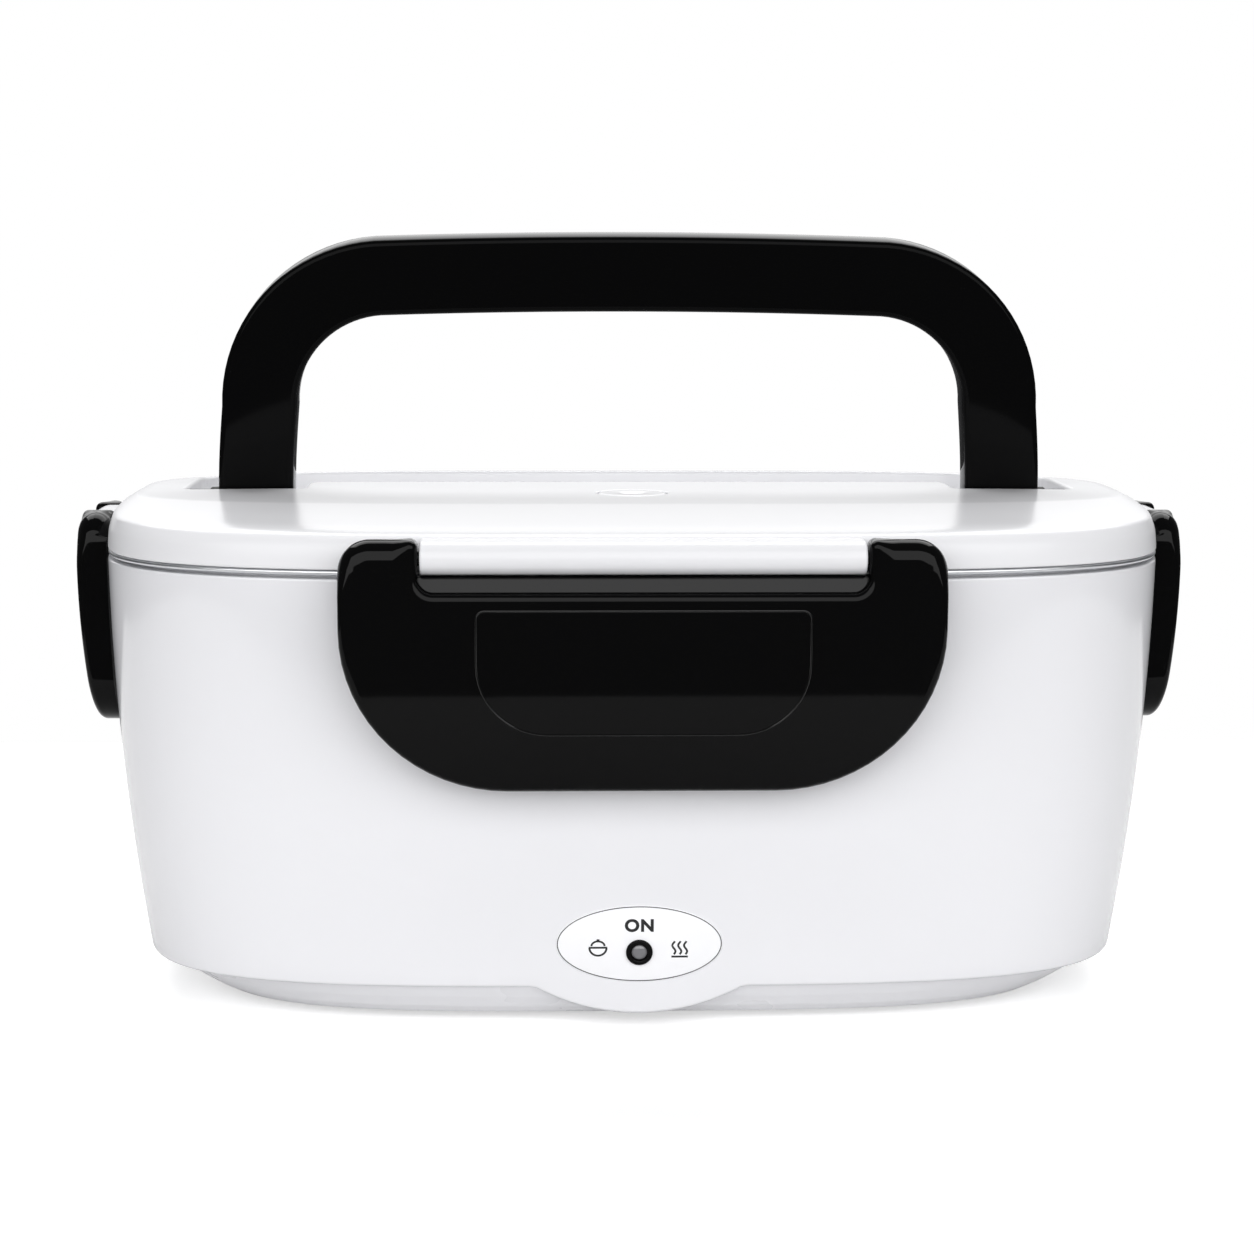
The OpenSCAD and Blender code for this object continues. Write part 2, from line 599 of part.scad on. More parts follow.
module lid_shell() {
    vent_z = top_z - 1.2;
    color("white") union() {
        difference() {
            loft(lid_rings(crown));
            difference() {
                loft(lid_rings(cavity));
                linear_extrude(height = far) polygon(recess_outline(1.5));
                for (sx = [-1, 1]) translate([sx > 0 ? recess_a : -recess_a - 4.7, pivot_y - 5.5, 0])
                    cube([4.7, 11, far]);
                translate([0, vent_y, vent_z - 2]) cylinder(r = vent_r + 2, h = far, $fn = 48);
                for (sx = [-1, 1], sy = [-1, 1]) translate([sx * 50, sy * (body_b - liner_in + 2), liner_flange_z])
                    cylinder(r = post_r, h = far, $fn = 24);
                for (sx = [-1, 1]) translate([sx * (body_a - liner_in + 2), 24, liner_flange_z])
                    cylinder(r = post_r, h = far, $fn = 24);
            }
            translate([0, 0, recess_z]) linear_extrude(height = far) polygon(recess_outline(0));
            for (sx = [-1, 1]) translate([sx * (recess_a - 2), pivot_y, pivot_z]) rotate([0, 90 * sx, 0])
                cylinder(r = pivot_r + pin_fit, h = 5.6, $fn = 32);
            translate([0, vent_y, 0]) cylinder(r = 4, h = far, $fn = 32);
            translate([0, vent_y, vent_z]) cylinder(r = vent_r + 0.4, h = far, $fn = 48);
        }
        lug(0, body_b, lug_half, front_axis_z);
        lug(180, body_b, lug_half, back_axis_z);
        lug(90, body_a, side_lug_half, side_axis_z);
        lug(270, body_a, side_lug_half, side_axis_z);
    }
}

liner_top = liner_z + liner_t;
liner_profile = [
    [liner_in + 1, liner_z], [liner_in, liner_z + 1], [liner_in, gasket_top], [lid_t + 1, gasket_top],
    [lid_t + 1, liner_flange_z], [liner_in + liner_t, liner_flange_z], [liner_in + liner_t, liner_top + 0.6],
    [liner_in + liner_t + 0.6, liner_top]];

module lid_liner() {
    color("whitesmoke") difference() {
        loft([for (p = liner_profile) oval(body_a - p[0], body_b - p[1 - 1], p[1])]);
        translate([0, vent_y, 0]) cylinder(r = 3, h = far, $fn = 32);
    }
}

module lid_gasket() {
    outer = lid_t + 1.2;
    inner = liner_in - 0.1;
    color("mistyrose") difference() {
        loft([oval(body_a - outer - 0.4, body_b - outer - 0.4, flange_z),
            oval(body_a - outer, body_b - outer, flange_z + 0.8),
            oval(body_a - outer, body_b - outer, gasket_top)]);
        loft([oval(body_a - inner, body_b - inner, flange_z - 1), oval(body_a - inner, body_b - inner, gasket_top + 1)]);
    }
}

module vent_plug() {
    seat = top_z - 1.2;
    color("gainsboro") translate([0, vent_y, 0]) difference() {
        rotate_extrude($fn = 64) polygon([[0, seat - 5], [3.4, seat - 5], [3.9, seat - 4.4], [3.9, seat],
            [vent_r, seat], [vent_r, seat + 0.7], [vent_r - 0.6, seat + 1.2], [2.6, seat + 1.2], [2, seat + 0.7],
            [0, seat + 0.7]]);
        translate([0, 0, seat - 6]) cylinder(r = 0.8, h = 9, $fn = 16);
    }
}

/* ---------- Handle ---------- */

bevel = 1.4;
mid_a = handle_a - handle_w / 2;                    // centre line of a leg
lean_in = 1.4;                                      // how far a leg draws in up to the corner
corner_r = handle_r - handle_w / 2;
cross_z = handle_reach - handle_w / 2 - handle_arch;
bend_a = mid_a - lean_in - corner_r;
half_path = concat(
    [[mid_a, 0, 90]],
    [for (t = [0:15:90]) [bend_a + corner_r * cos(t), cross_z - corner_r + corner_r * sin(t), 90 + t]],
    [for (k = [0.66, 0.33]) [bend_a * k, cross_z + handle_arch * (1 - k * k), 180]]);
bail_path = concat(half_path, [[0, cross_z + handle_arch, 180]],
    [for (i = [len(half_path) - 1:-1:0]) let (p = half_path[i]) [-p[0], p[1], 360 - p[2]]]);
// Section of the bail: across the path, then through its thickness, with bevelled corners
bail_section = let (w = handle_w / 2, t = handle_t / 2, c = 0.41)
    [for (q = [[1, -1], [1, 1], [-1, 1], [-1, -1]]) each let (u = q[0] * w, v = q[1] * t, s = q[0] * q[1])
        s < 0 ? [[u - q[0] * bevel, v], [u - q[0] * bevel * c, v - q[1] * bevel * c], [u, v - q[1] * bevel]]
              : [[u, v - q[1] * bevel], [u - q[0] * bevel * c, v - q[1] * bevel * c], [u - q[0] * bevel, v]]];

module bail_solid() {
    loft([for (p = bail_path) [for (s = bail_section)
        [p[0] + s[0] * sin(p[2]), s[1], p[1] - s[0] * cos(p[2])]]]);
}

module carry_handle() {
    color([0.05, 0.05, 0.05]) translate([0, pivot_y, pivot_z]) rotate([handle_lean, 0, 0]) union() {
        bail_solid();
        for (sx = [-1, 1]) rotate([0, 90 * sx, 0]) {
            translate([0, 0, handle_a - handle_w]) cylinder(r = handle_t / 2, h = handle_w, $fn = 48);
            translate([0, 0, handle_a - 1]) cylinder(r = hub_r, h = recess_a - handle_a + 1 - slip, $fn = 48);
            translate([0, 0, handle_a]) cylinder(r = pivot_r, h = recess_a - handle_a + 3, $fn = 32);
        }
    }
}

/* ---------- Latches ---------- */

bow_r = 140;            // radius of the bowed front, seen from the end
bow_start = 6;          // where the bow starts below the axis
fillet = 1.5;           // rounding round the front edge
tip = 0.8;              // half thickness of the very top of a horn
bar_z = -lug_r - slip;  // top of the set-back bar
face_z = -6.6;          // top of the front face between the horns
pad_rise = 0.3;

// Front face and back face of a latch at height z from its axis, out is -Y
function face_y(z) = z > 0 ? -max(tip, sqrt(max(0, horn_r * horn_r - z * z)))
    : -horn_r + pow(max(0, -z - bow_start), 2) / (2 * bow_r);
function back_y(z) = z > 0 ? max(tip, sqrt(max(0, horn_r * horn_r - z * z)))
    : horn_r + slope * max(0, -z - horn_r);
// Outline of a latch seen from outside, drawn in by inset
function latch_outline(a, top, bottom, r_top, r_bottom, inset) = concat(
    arc(a - r_top, top - r_top, r_top - inset, 0, 90), arc(r_top - a, top - r_top, r_top - inset, 90, 180),
    arc(r_bottom - a, bottom + r_bottom, r_bottom - inset, 180, 270, 12),
    arc(a - r_bottom, bottom + r_bottom, r_bottom - inset, 270, 360, 12));

// Solid between rings that are mirror images left to right; the depth depends on height only,
// so each end is closed by flat strips from left to right
module strip_loft(rings) {
    n = len(rings[0]);
    last = (len(rings) - 1) * n;
    first_left = arc_pts + 1;
    rows = n / 2 - 2;
    sides = [for (k = [0:len(rings) - 2], i = [0:n - 1]) let (j = (i + 1) % n)
        [k * n + i, (k + 1) * n + i, (k + 1) * n + j, k * n + j]];
    front = [for (q = [0:rows]) let (left = first_left + q, right = (arc_pts - q + n) % n, next = (right - 1 + n) % n)
        [last + left, last + right, last + next, last + left + 1]];
    back = [for (q = [0:rows]) let (left = first_left + q, right = (arc_pts - q + n) % n, next = (right - 1 + n) % n)
        [left + 1, next, right, left]];
    polyhedron([for (r = rings) each r], concat(sides, front, back));
}

function ring_on_face(outline, lift) = [for (p = outline) [p[0], face_y(p[1]) + lift, p[1]]];
function ring_on_back(outline, lift) = [for (p = outline) [p[0], back_y(p[1]) + lift, p[1]]];

module latch(a, drop, horn, corner, pad) {
    inner = a - horn;
    r_top = 6.4;
    hollow_top = -8.6;
    hook_z = rim_z - ledge_drop - ledge_h - 0.6;
    color([0.05, 0.05, 0.05]) union() {
        difference() {
            strip_loft([
                ring_on_back(latch_outline(a, horn_r, -drop, r_top, corner, 0), 0),
                ring_on_face(latch_outline(a, horn_r, -drop, r_top, corner, 0), fillet),
                ring_on_face(latch_outline(a, horn_r, -drop, r_top, corner, 0.29 * fillet), 0.29 * fillet),
                ring_on_face(latch_outline(a, horn_r, -drop, r_top, corner, fillet), 0)]);
            // notch between the horns, with the bar set back behind the front face
            translate([-inner, -far / 2, bar_z]) cube([2 * inner, far, far]);
            translate([0, -1, 0]) rotate([90, 0, 0]) linear_extrude(height = far) polygon(concat(
                arc(3 - inner, face_z + 3, 3, 180, 270), arc(inner - 3, face_z + 3, 3, 270, 360),
                [[inner, far], [-inner, far]]));
            // hollow back, with ribs and the hook bar left standing
            difference() {
                strip_loft([
                    ring_on_back(latch_outline(a - latch_skin, hollow_top, latch_skin - drop, 2,
                        corner - latch_skin, 0), 2),
                    ring_on_face(latch_outline(a - latch_skin, hollow_top, latch_skin - drop, 2,
                        corner - latch_skin, 0), latch_skin)]);
                children();
            }
        }
        for (sx = [-1, 1]) translate([sx * (inner + 1), 0, 0]) rotate([0, -90 * sx, 0])
            cylinder(r = latch_pin_r, h = pin_len + 1, $fn = 32);
        if (pad) strip_loft([
            ring_on_face(latch_outline(32.7, -10.1, -35, 1.6, 14, 0), 1),
            ring_on_face(latch_outline(32.7, -10.1, -35, 1.6, 14, 0), -pad_rise / 2),
            ring_on_face(latch_outline(32.7, -10.1, -35, 1.6, 14, 0.4), -pad_rise)]);
    }
}

// Ribs and hook bar inside a latch whose axis is at axis_z
module latch_inside(half, axis_z, rib_x) {
    hook_top = rim_z - ledge_drop - ledge_h - 0.6 - axis_z;
    translate([-half, -far / 2, hook_top - 2.2]) cube([2 * half, far, 2.2]);
    for (x = rib_x) translate([x - 0.6, -far / 2, -far + hook_top - 2]) cube([1.2, far, far]);
}

module wide_latch(turn, axis_z) {
    rotate([0, 0, turn]) translate([0, -body_b - axis_out, axis_z])
        latch(latch_a, latch_drop, horn_w, latch_corner, true)
            latch_inside(latch_a - horn_w - 14, axis_z, [-40, -20, 0, 20, 40]);
}

module end_latch(turn) {
    rotate([0, 0, turn]) translate([0, -body_a - axis_out, side_axis_z])
        latch(side_latch_a, side_latch_drop, side_horn_w, side_latch_corner, false)
            latch_inside(side_latch_a - 8, side_axis_z, [-8, 8]);
}

module latch_front() { wide_latch(0, front_axis_z); }
module latch_back() { wide_latch(180, back_axis_z); }
module latch_left() { end_latch(270); }
module latch_right() { end_latch(90); }

housing();
base_cover();
feet();
base_screws();
heater_plate();
heating_element();
element_clamp();
clamp_nuts();
insulation_pad();
thermostat();
thermal_fuse();
inner_leads();
indicator_panel();
lamp_bezel();
lamp_lens();
lamp_board();
power_inlet();
inlet_pins();
steel_tray();
food_insert();
lid_shell();
lid_liner();
lid_gasket();
vent_plug();
carry_handle();
latch_front();
latch_back();
latch_left();
latch_right();
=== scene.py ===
"""Visual model of an electric lunch box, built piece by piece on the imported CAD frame.

Sizes are in millimetres in the row frame: origin at the middle of the foot plane, +Z up, the lamp panel
facing -Y. Meshes are scaled to metres when they are made.
"""

import logging
import math
from dataclasses import dataclass, field
from enum import Enum

import bmesh
import bpy
import numpy as np
from mathutils import Matrix, Vector
from mathutils.geometry import delaunay_2d_cdt

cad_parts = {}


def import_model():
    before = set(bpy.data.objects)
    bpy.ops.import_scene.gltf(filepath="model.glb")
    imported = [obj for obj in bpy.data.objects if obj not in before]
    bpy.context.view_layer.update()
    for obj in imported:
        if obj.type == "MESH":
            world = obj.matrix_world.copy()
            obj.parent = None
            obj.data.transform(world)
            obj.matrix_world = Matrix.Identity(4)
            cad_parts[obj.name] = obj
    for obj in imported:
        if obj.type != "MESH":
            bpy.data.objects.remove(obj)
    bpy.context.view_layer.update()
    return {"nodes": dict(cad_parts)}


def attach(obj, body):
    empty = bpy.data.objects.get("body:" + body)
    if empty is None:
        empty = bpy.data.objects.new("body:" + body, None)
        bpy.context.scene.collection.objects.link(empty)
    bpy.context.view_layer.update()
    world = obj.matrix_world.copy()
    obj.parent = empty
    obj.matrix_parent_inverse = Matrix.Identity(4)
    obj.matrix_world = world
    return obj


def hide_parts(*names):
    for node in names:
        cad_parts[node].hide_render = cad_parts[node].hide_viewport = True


MM = 0.001
SHARP = 38.0  # degrees between two faces from which their shared edge is drawn sharp
HINGE_OUT = 4.3  # how far the latches' hinge axes stand outside the body's wall
LOG = logging.getLogger("lunch_box")


# ---------------------------------------------------------------------------
# Mesh making
# ---------------------------------------------------------------------------


class MeshMaker:
    """Turns rings, outlines and profiles in millimetres into smooth Blender objects."""

    @staticmethod
    def make(name: str, points: np.ndarray, faces: list, sharp: float = SHARP) -> bpy.types.Object:
        """Makes an object from points and faces.

        Args:
            name: the object's name.
            points: an (n, 3) array in millimetres.
            faces: lists of point numbers, counter-clockwise seen from outside.
            sharp: edges that bend by more than this many degrees stay sharp.

        Returns:
            The new object, linked to the scene.
        """
        mesh = bpy.data.meshes.new(name)
        mesh.from_pydata((np.asarray(points, float) * MM).tolist(), [], faces)
        mesh.validate()
        mesh.shade_smooth()
        mesh.set_sharp_from_angle(angle=math.radians(sharp))
        mesh.update()
        piece = bpy.data.objects.new(name, mesh)
        bpy.context.scene.collection.objects.link(piece)
        return piece

    @staticmethod
    def welded(piece: bpy.types.Object, reach: float = 1e-6) -> bpy.types.Object:
        """Joins the points of a piece that lie in one place, so that no face has zero area.

        Args:
            piece: the object.
            reach: greatest distance between joined points, in metres.

        Returns:
            The piece.
        """
        skin = bmesh.new()
        skin.from_mesh(piece.data)
        bmesh.ops.remove_doubles(skin, verts=skin.verts, dist=reach)
        skin.to_mesh(piece.data)
        skin.free()
        return piece

    @staticmethod
    def ring_faces(count: int, rows: int, around: bool = False, start: int = 0) -> list:
        """Quads between stacked rings.

        Args:
            count: points in each ring.
            rows: number of rings.
            around: True joins the last ring to the first.
            start: number of the first point.

        Returns:
            A list of quads.
        """
        faces = []
        for k in range(rows if around else rows - 1):
            low = start + k * count
            high = start + ((k + 1) % rows) * count
            for i in range(count):
                j = (i + 1) % count
                faces.append([low + i, low + j, high + j, high + i])
        return faces

    @staticmethod
    def loft(name: str, rings: list, around: bool = False, caps: bool = False,
             sharp: float = SHARP) -> bpy.types.Object:
        """Joins rings of equal counts into one skin.

        Args:
            name: the object's name.
            rings: (n, 3) arrays, each counter-clockwise seen from above, from the inside of the foot
                outwards and up, or from the bottom up.
            around: True joins the last ring to the first.
            caps: True closes the first and last ring.
            sharp: edge angle that stays sharp.

        Returns:
            The new object.
        """
        count = len(rings[0])
        faces = MeshMaker.ring_faces(count, len(rings), around)
        if caps:
            faces.append(list(range(count - 1, -1, -1)))
            faces.append([(len(rings) - 1) * count + i for i in range(count)])
        return MeshMaker.make(name, np.concatenate(rings), faces, sharp)

    @staticmethod
    def turned(name: str, profile: list, steps: int = 72, sharp: float = SHARP) -> bpy.types.Object:
        """Turns a profile of (radius, height) about the Z axis, from the axis to the axis.

        Args:
            name: the object's name.
            profile: (radius, height) pairs, starting and ending on the axis, bottom first.
            steps: points round the axis.
            sharp: edge angle that stays sharp.

        Returns:
            The new object.
        """
        angles = np.arange(steps) * 2 * math.pi / steps
        rings = [np.stack([r * np.cos(angles), r * np.sin(angles), np.full(steps, h)], 1)
                 for r, h in profile if r > 1e-6]
        return MeshMaker.loft(name, rings, caps=True, sharp=sharp)

    @staticmethod
    def carve(piece: bpy.types.Object, cutter: bpy.types.Object) -> bpy.types.Object:
        """Takes the cutter out of the piece and removes the cutter.

        Args:
            piece: the object that is cut.
            cutter: a closed object.

        Returns:
            The cut piece.
        """
        tool = piece.modifiers.new("carve", "BOOLEAN")
        tool.operation = "DIFFERENCE"
        tool.solver = "EXACT"
        tool.object = cutter
        bpy.context.view_layer.update()
        seen = piece.evaluated_get(bpy.context.evaluated_depsgraph_get())
        mesh = bpy.data.meshes.new_from_object(seen)
        piece.modifiers.clear()
        old = piece.data
        mesh.name = old.name
        piece.data = mesh
        bpy.data.meshes.remove(old)
        mesh.shade_smooth()
        mesh.set_sharp_from_angle(angle=math.radians(SHARP))
        bpy.data.objects.remove(cutter)
        return piece


class Flat:
    """Work on flat outlines, as (n, 2) arrays that run counter-clockwise."""

    @staticmethod
    def rounded(corners: list, steps: int = 6, closed: bool = True) -> np.ndarray:
        """Rounds the corners of a polyline.

        Args:
            corners: (x, y, radius) for each corner.
            steps: steps in each arc.
            closed: True for a closed outline.

        Returns:
            The points of the rounded outline.
        """
        out = []
        last = len(corners) - 1
        for i, (x, y, r) in enumerate(corners):
            if r <= 0 or (not closed and i in (0, last)):
                out.append((x, y))
                continue
            here = Vector((x, y))
            before, after = corners[i - 1], corners[(i + 1) % (last + 1)]
            u, v = Vector(before[:2]) - here, Vector(after[:2]) - here
            room = min(u.length * r / max(r + before[2], 1e-9), v.length * r / max(r + after[2], 1e-9))
            u.normalize()
            v.normalize()
            half = math.acos(max(-1.0, min(1.0, u.dot(v)))) / 2
            if half > math.pi / 2 - 1e-3:
                out.append((x, y))
                continue
            reach = min(r / math.tan(half), room)
            radius = reach * math.tan(half)
            middle = here + (u + v).normalized() * (radius / math.sin(half))
            one, two = here + u * reach - middle, here + v * reach - middle
            first = math.atan2(one.y, one.x)
            turn = (math.atan2(two.y, two.x) - first + math.pi) % (2 * math.pi) - math.pi
            for k in range(steps + 1):
                t = first + turn * k / steps
                out.append((middle.x + radius * math.cos(t), middle.y + radius * math.sin(t)))
        return np.array(out)

    @staticmethod
    def refined(outline: np.ndarray, step: float) -> np.ndarray:
        """Adds points so that no side of the outline is longer than step.

        Args:
            outline: the closed outline.
            step: the longest side.

        Returns:
            The refined outline.
        """
        out = []
        for i, p in enumerate(outline):
            q = outline[(i + 1) % len(outline)]
            parts = max(1, math.ceil(float(np.hypot(*(q - p))) / step))
            out += [p + (q - p) * k / parts for k in range(parts)]
        return np.array(out)

    @staticmethod
    def normals(outline: np.ndarray) -> np.ndarray:
        """Outward unit normals at the points of an outline.

        Args:
            outline: a closed outline, counter-clockwise.

        Returns:
            An array of the outline's shape.
        """
        side = np.roll(outline, -1, 0) - outline
        side /= np.maximum(np.hypot(side[:, 0], side[:, 1]), 1e-9)[:, None]
        mean = side + np.roll(side, 1, 0)
        mean /= np.maximum(np.hypot(mean[:, 0], mean[:, 1]), 1e-9)[:, None]
        return np.stack([mean[:, 1], -mean[:, 0]], 1)

    @staticmethod
    def inside(points: np.ndarray, outline: np.ndarray) -> np.ndarray:
        """Says which points lie inside an outline.

        Args:
            points: an (m, 2) array.
            outline: a closed outline.

        Returns:
            An array of m truth values.
        """
        found = np.zeros(len(points), bool)
        x, y = points[:, 0], points[:, 1]
        for (ax, ay), (bx, by) in zip(outline, np.roll(outline, -1, 0)):
            if ay == by:
                continue
            crosses = ((ay > y) != (by > y)) & (x < (bx - ax) * (y - ay) / (by - ay) + ax)
            found ^= crosses
        return found

    @staticmethod
    def distance(points: np.ndarray, outline: np.ndarray) -> np.ndarray:
        """Least distance from each point to the sides of an outline.

        Args:
            points: an (m, 2) array.
            outline: a closed outline.

        Returns:
            An array of m distances.
        """
        best = np.full(len(points), 1e9)
        for a, b in zip(outline, np.roll(outline, -1, 0)):
            side = b - a
            share = np.clip(((points - a) @ side) / max(float(side @ side), 1e-12), 0, 1)
            gap = points - a - share[:, None] * side
            best = np.minimum(best, np.hypot(gap[:, 0], gap[:, 1]))
        return best

    @staticmethod
    def grid(outline: np.ndarray, holes: list, step: float) -> np.ndarray:
        """Grid points inside an outline, away from its edge and its holes.

        Args:
            outline: the outer outline.
            holes: outlines of holes.
            step: grid step.

        Returns:
            An (m, 2) array, which may be empty.
        """
        low, high = outline.min(0), outline.max(0)
        xs, ys = np.arange(low[0] + step / 2, high[0], step), np.arange(low[1] + step / 2, high[1], step)
        points = np.stack(np.meshgrid(xs, ys), -1).reshape(-1, 2)
        keep = Flat.inside(points, outline) & (Flat.distance(points, outline) > step * 0.45)
        for hole in holes:
            keep &= ~Flat.inside(points, hole) & (Flat.distance(points, hole) > step * 0.45)
        return points[keep]

    @staticmethod
    def fill(outline: np.ndarray, holes: list, extra: np.ndarray) -> tuple:
        """Triangles that fill an outline, less its holes.

        Args:
            outline: the outer outline.
            holes: outlines of holes.
            extra: further points inside.

        Returns:
            The points, which start with the outline's, the holes' and the extra ones in that order,
            and the triangles, counter-clockwise.
        """
        loops = [outline, *holes]
        points = np.concatenate([*loops, extra]) if len(extra) else np.concatenate(loops)
        edges, base = [], 0
        for loop in loops:
            edges += [(base + i, base + (i + 1) % len(loop)) for i in range(len(loop))]
            base += len(loop)
        found = delaunay_2d_cdt([Vector(p) for p in points.tolist()], edges, [], 0, 1e-7)
        number = {i: origin[0] for i, origin in enumerate(found[3]) if origin}
        faces = [[number[v] for v in face] for face in found[2] if all(v in number for v in face)]
        middle = points[np.array(faces)].mean(1)
        keep = Flat.inside(middle, outline)
        for hole in holes:
            keep &= ~Flat.inside(middle, hole)
        out = []
        for face, wanted in zip(faces, keep):
            if not wanted:
                continue
            a, b, c = points[face]
            turn = (b[0] - a[0]) * (c[1] - a[1]) - (b[1] - a[1]) * (c[0] - a[0])
            out.append(face if turn > 0 else face[::-1])
        return points, out


# ---------------------------------------------------------------------------
# Finishes
# ---------------------------------------------------------------------------


class Shade:
    """Makes the node groups that the finishes share, and keeps each of them once."""

    made: dict = {}

    @staticmethod
    def group(name: str, inputs: dict, outputs: dict) -> tuple:
        """Starts a node group.

        Args:
            name: the group's name.
            inputs: name to (socket type, default value).
            outputs: name to socket type.

        Returns:
            The group, its input node and its output node.
        """
        tree = bpy.data.node_groups.new(name, "ShaderNodeTree")
        for label, (kind, value) in inputs.items():
            socket = tree.interface.new_socket(name=label, in_out="INPUT", socket_type=kind)
            socket.default_value = value
        for label, kind in outputs.items():
            tree.interface.new_socket(name=label, in_out="OUTPUT", socket_type=kind)
        return tree, tree.nodes.new("NodeGroupInput"), tree.nodes.new("NodeGroupOutput")

    @staticmethod
    def moulding() -> bpy.types.NodeTree:
        """Moulded surface: the faint waviness of a mould, fine specks, and patches of duller gloss.

        Returns:
            The node group.
        """
        if "moulding" in Shade.made:
            return Shade.made["moulding"]
        number, colour = "NodeSocketFloat", "NodeSocketColor"
        tree, inp, out = Shade.group(
            "moulded_surface",
            {"Wave Scale": (number, 60.0), "Speck Scale": (number, 2500.0), "Speck Share": (number, 0.1),
             "Dull Scale": (number, 30.0), "Gloss": (number, 0.2), "Gloss Spread": (number, 0.05),
             "Tint": (colour, (1, 1, 1, 1)), "Tint Spread": (number, 0.02)},
            {"Height": number, "Roughness": number, "Colour": colour})
        place = tree.nodes.new("ShaderNodeTexCoord")
        wave, speck, dull = (tree.nodes.new("ShaderNodeTexNoise") for _ in range(3))
        for noise, label in ((wave, "Wave Scale"), (speck, "Speck Scale"), (dull, "Dull Scale")):
            tree.links.new(place.outputs["Object"], noise.inputs["Vector"])
            tree.links.new(inp.outputs[label], noise.inputs["Scale"])
        wave.inputs["Detail"].default_value = 1.0
        speck.inputs["Detail"].default_value = 2.0
        dull.inputs["Detail"].default_value = 4.0
        mix = Shade.math(tree, "MULTIPLY", speck.outputs["Fac"], inp.outputs["Speck Share"])
        height = Shade.math(tree, "ADD", wave.outputs["Fac"], mix)
        away = Shade.math(tree, "SUBTRACT", dull.outputs["Fac"], 0.5)
        spread = Shade.math(tree, "MULTIPLY", away, inp.outputs["Gloss Spread"])
        rough = Shade.math(tree, "ADD", inp.outputs["Gloss"], spread)
        shift = Shade.math(tree, "MULTIPLY", away, inp.outputs["Tint Spread"])
        scale = Shade.math(tree, "ADD", shift, 1.0)
        tint = tree.nodes.new("ShaderNodeVectorMath")
        tint.operation = "SCALE"
        tree.links.new(inp.outputs["Tint"], tint.inputs[0])
        tree.links.new(scale, tint.inputs["Scale"])
        tree.links.new(height, out.inputs["Height"])
        tree.links.new(rough, out.inputs["Roughness"])
        tree.links.new(tint.outputs["Vector"], out.inputs["Colour"])
        Shade.made["moulding"] = tree
        return tree

    @staticmethod
    def brushing() -> bpy.types.NodeTree:
        """Brushed sheet metal: long fine scratches that change the gloss and the tone a little.

        Returns:
            The node group.
        """
        if "brushing" in Shade.made:
            return Shade.made["brushing"]
        number, colour, vector = "NodeSocketFloat", "NodeSocketColor", "NodeSocketVector"
        tree, inp, out = Shade.group(
            "brushed_sheet",
            {"Stretch": (vector, (20.0, 900.0, 900.0)), "Gloss": (number, 0.3), "Gloss Spread": (number, 0.2),
             "Tint": (colour, (0.6, 0.6, 0.6, 1)), "Tint Spread": (number, 0.1)},
            {"Height": number, "Roughness": number, "Colour": colour})
        place = tree.nodes.new("ShaderNodeTexCoord")
        stretch = tree.nodes.new("ShaderNodeVectorMath")
        stretch.operation = "MULTIPLY"
        tree.links.new(place.outputs["Object"], stretch.inputs[0])
        tree.links.new(inp.outputs["Stretch"], stretch.inputs[1])
        scratch = tree.nodes.new("ShaderNodeTexNoise")
        scratch.inputs["Scale"].default_value = 1.0
        scratch.inputs["Detail"].default_value = 3.0
        tree.links.new(stretch.outputs["Vector"], scratch.inputs["Vector"])
        away = Shade.math(tree, "SUBTRACT", scratch.outputs["Fac"], 0.5)
        rough = Shade.math(tree, "ADD", inp.outputs["Gloss"],
                           Shade.math(tree, "MULTIPLY", away, inp.outputs["Gloss Spread"]))
        scale = Shade.math(tree, "ADD", Shade.math(tree, "MULTIPLY", away, inp.outputs["Tint Spread"]), 1.0)
        tint = tree.nodes.new("ShaderNodeVectorMath")
        tint.operation = "SCALE"
        tree.links.new(inp.outputs["Tint"], tint.inputs[0])
        tree.links.new(scale, tint.inputs["Scale"])
        tree.links.new(scratch.outputs["Fac"], out.inputs["Height"])
        tree.links.new(rough, out.inputs["Roughness"])
        tree.links.new(tint.outputs["Vector"], out.inputs["Colour"])
        Shade.made["brushing"] = tree
        return tree

    @staticmethod
    def math(tree: bpy.types.NodeTree, operation: str, one: bpy.types.NodeSocket | float,
             two: bpy.types.NodeSocket | float) -> bpy.types.NodeSocket:
        """Adds a math node.

        Args:
            tree: the tree it goes in.
            operation: the node's operation.
            one: a socket or a number.
            two: a socket or a number.

        Returns:
            The node's output.
        """
        node = tree.nodes.new("ShaderNodeMath")
        node.operation = operation
        for socket, value in zip(node.inputs, (one, two)):
            if isinstance(value, (int, float)):
                socket.default_value = value
            else:
                tree.links.new(value, socket)
        return node.outputs[0]


def place_group(tree: bpy.types.NodeTree, group: bpy.types.NodeTree, values: dict) -> bpy.types.Node:
    """Places a node group in a material.

    Args:
        tree: the material's tree.
        group: the group.
        values: input name to value.

    Returns:
        The group node.
    """
    node = tree.nodes.new("ShaderNodeGroup")
    node.node_tree = group
    for label, value in values.items():
        node.inputs[label].default_value = value
    return node


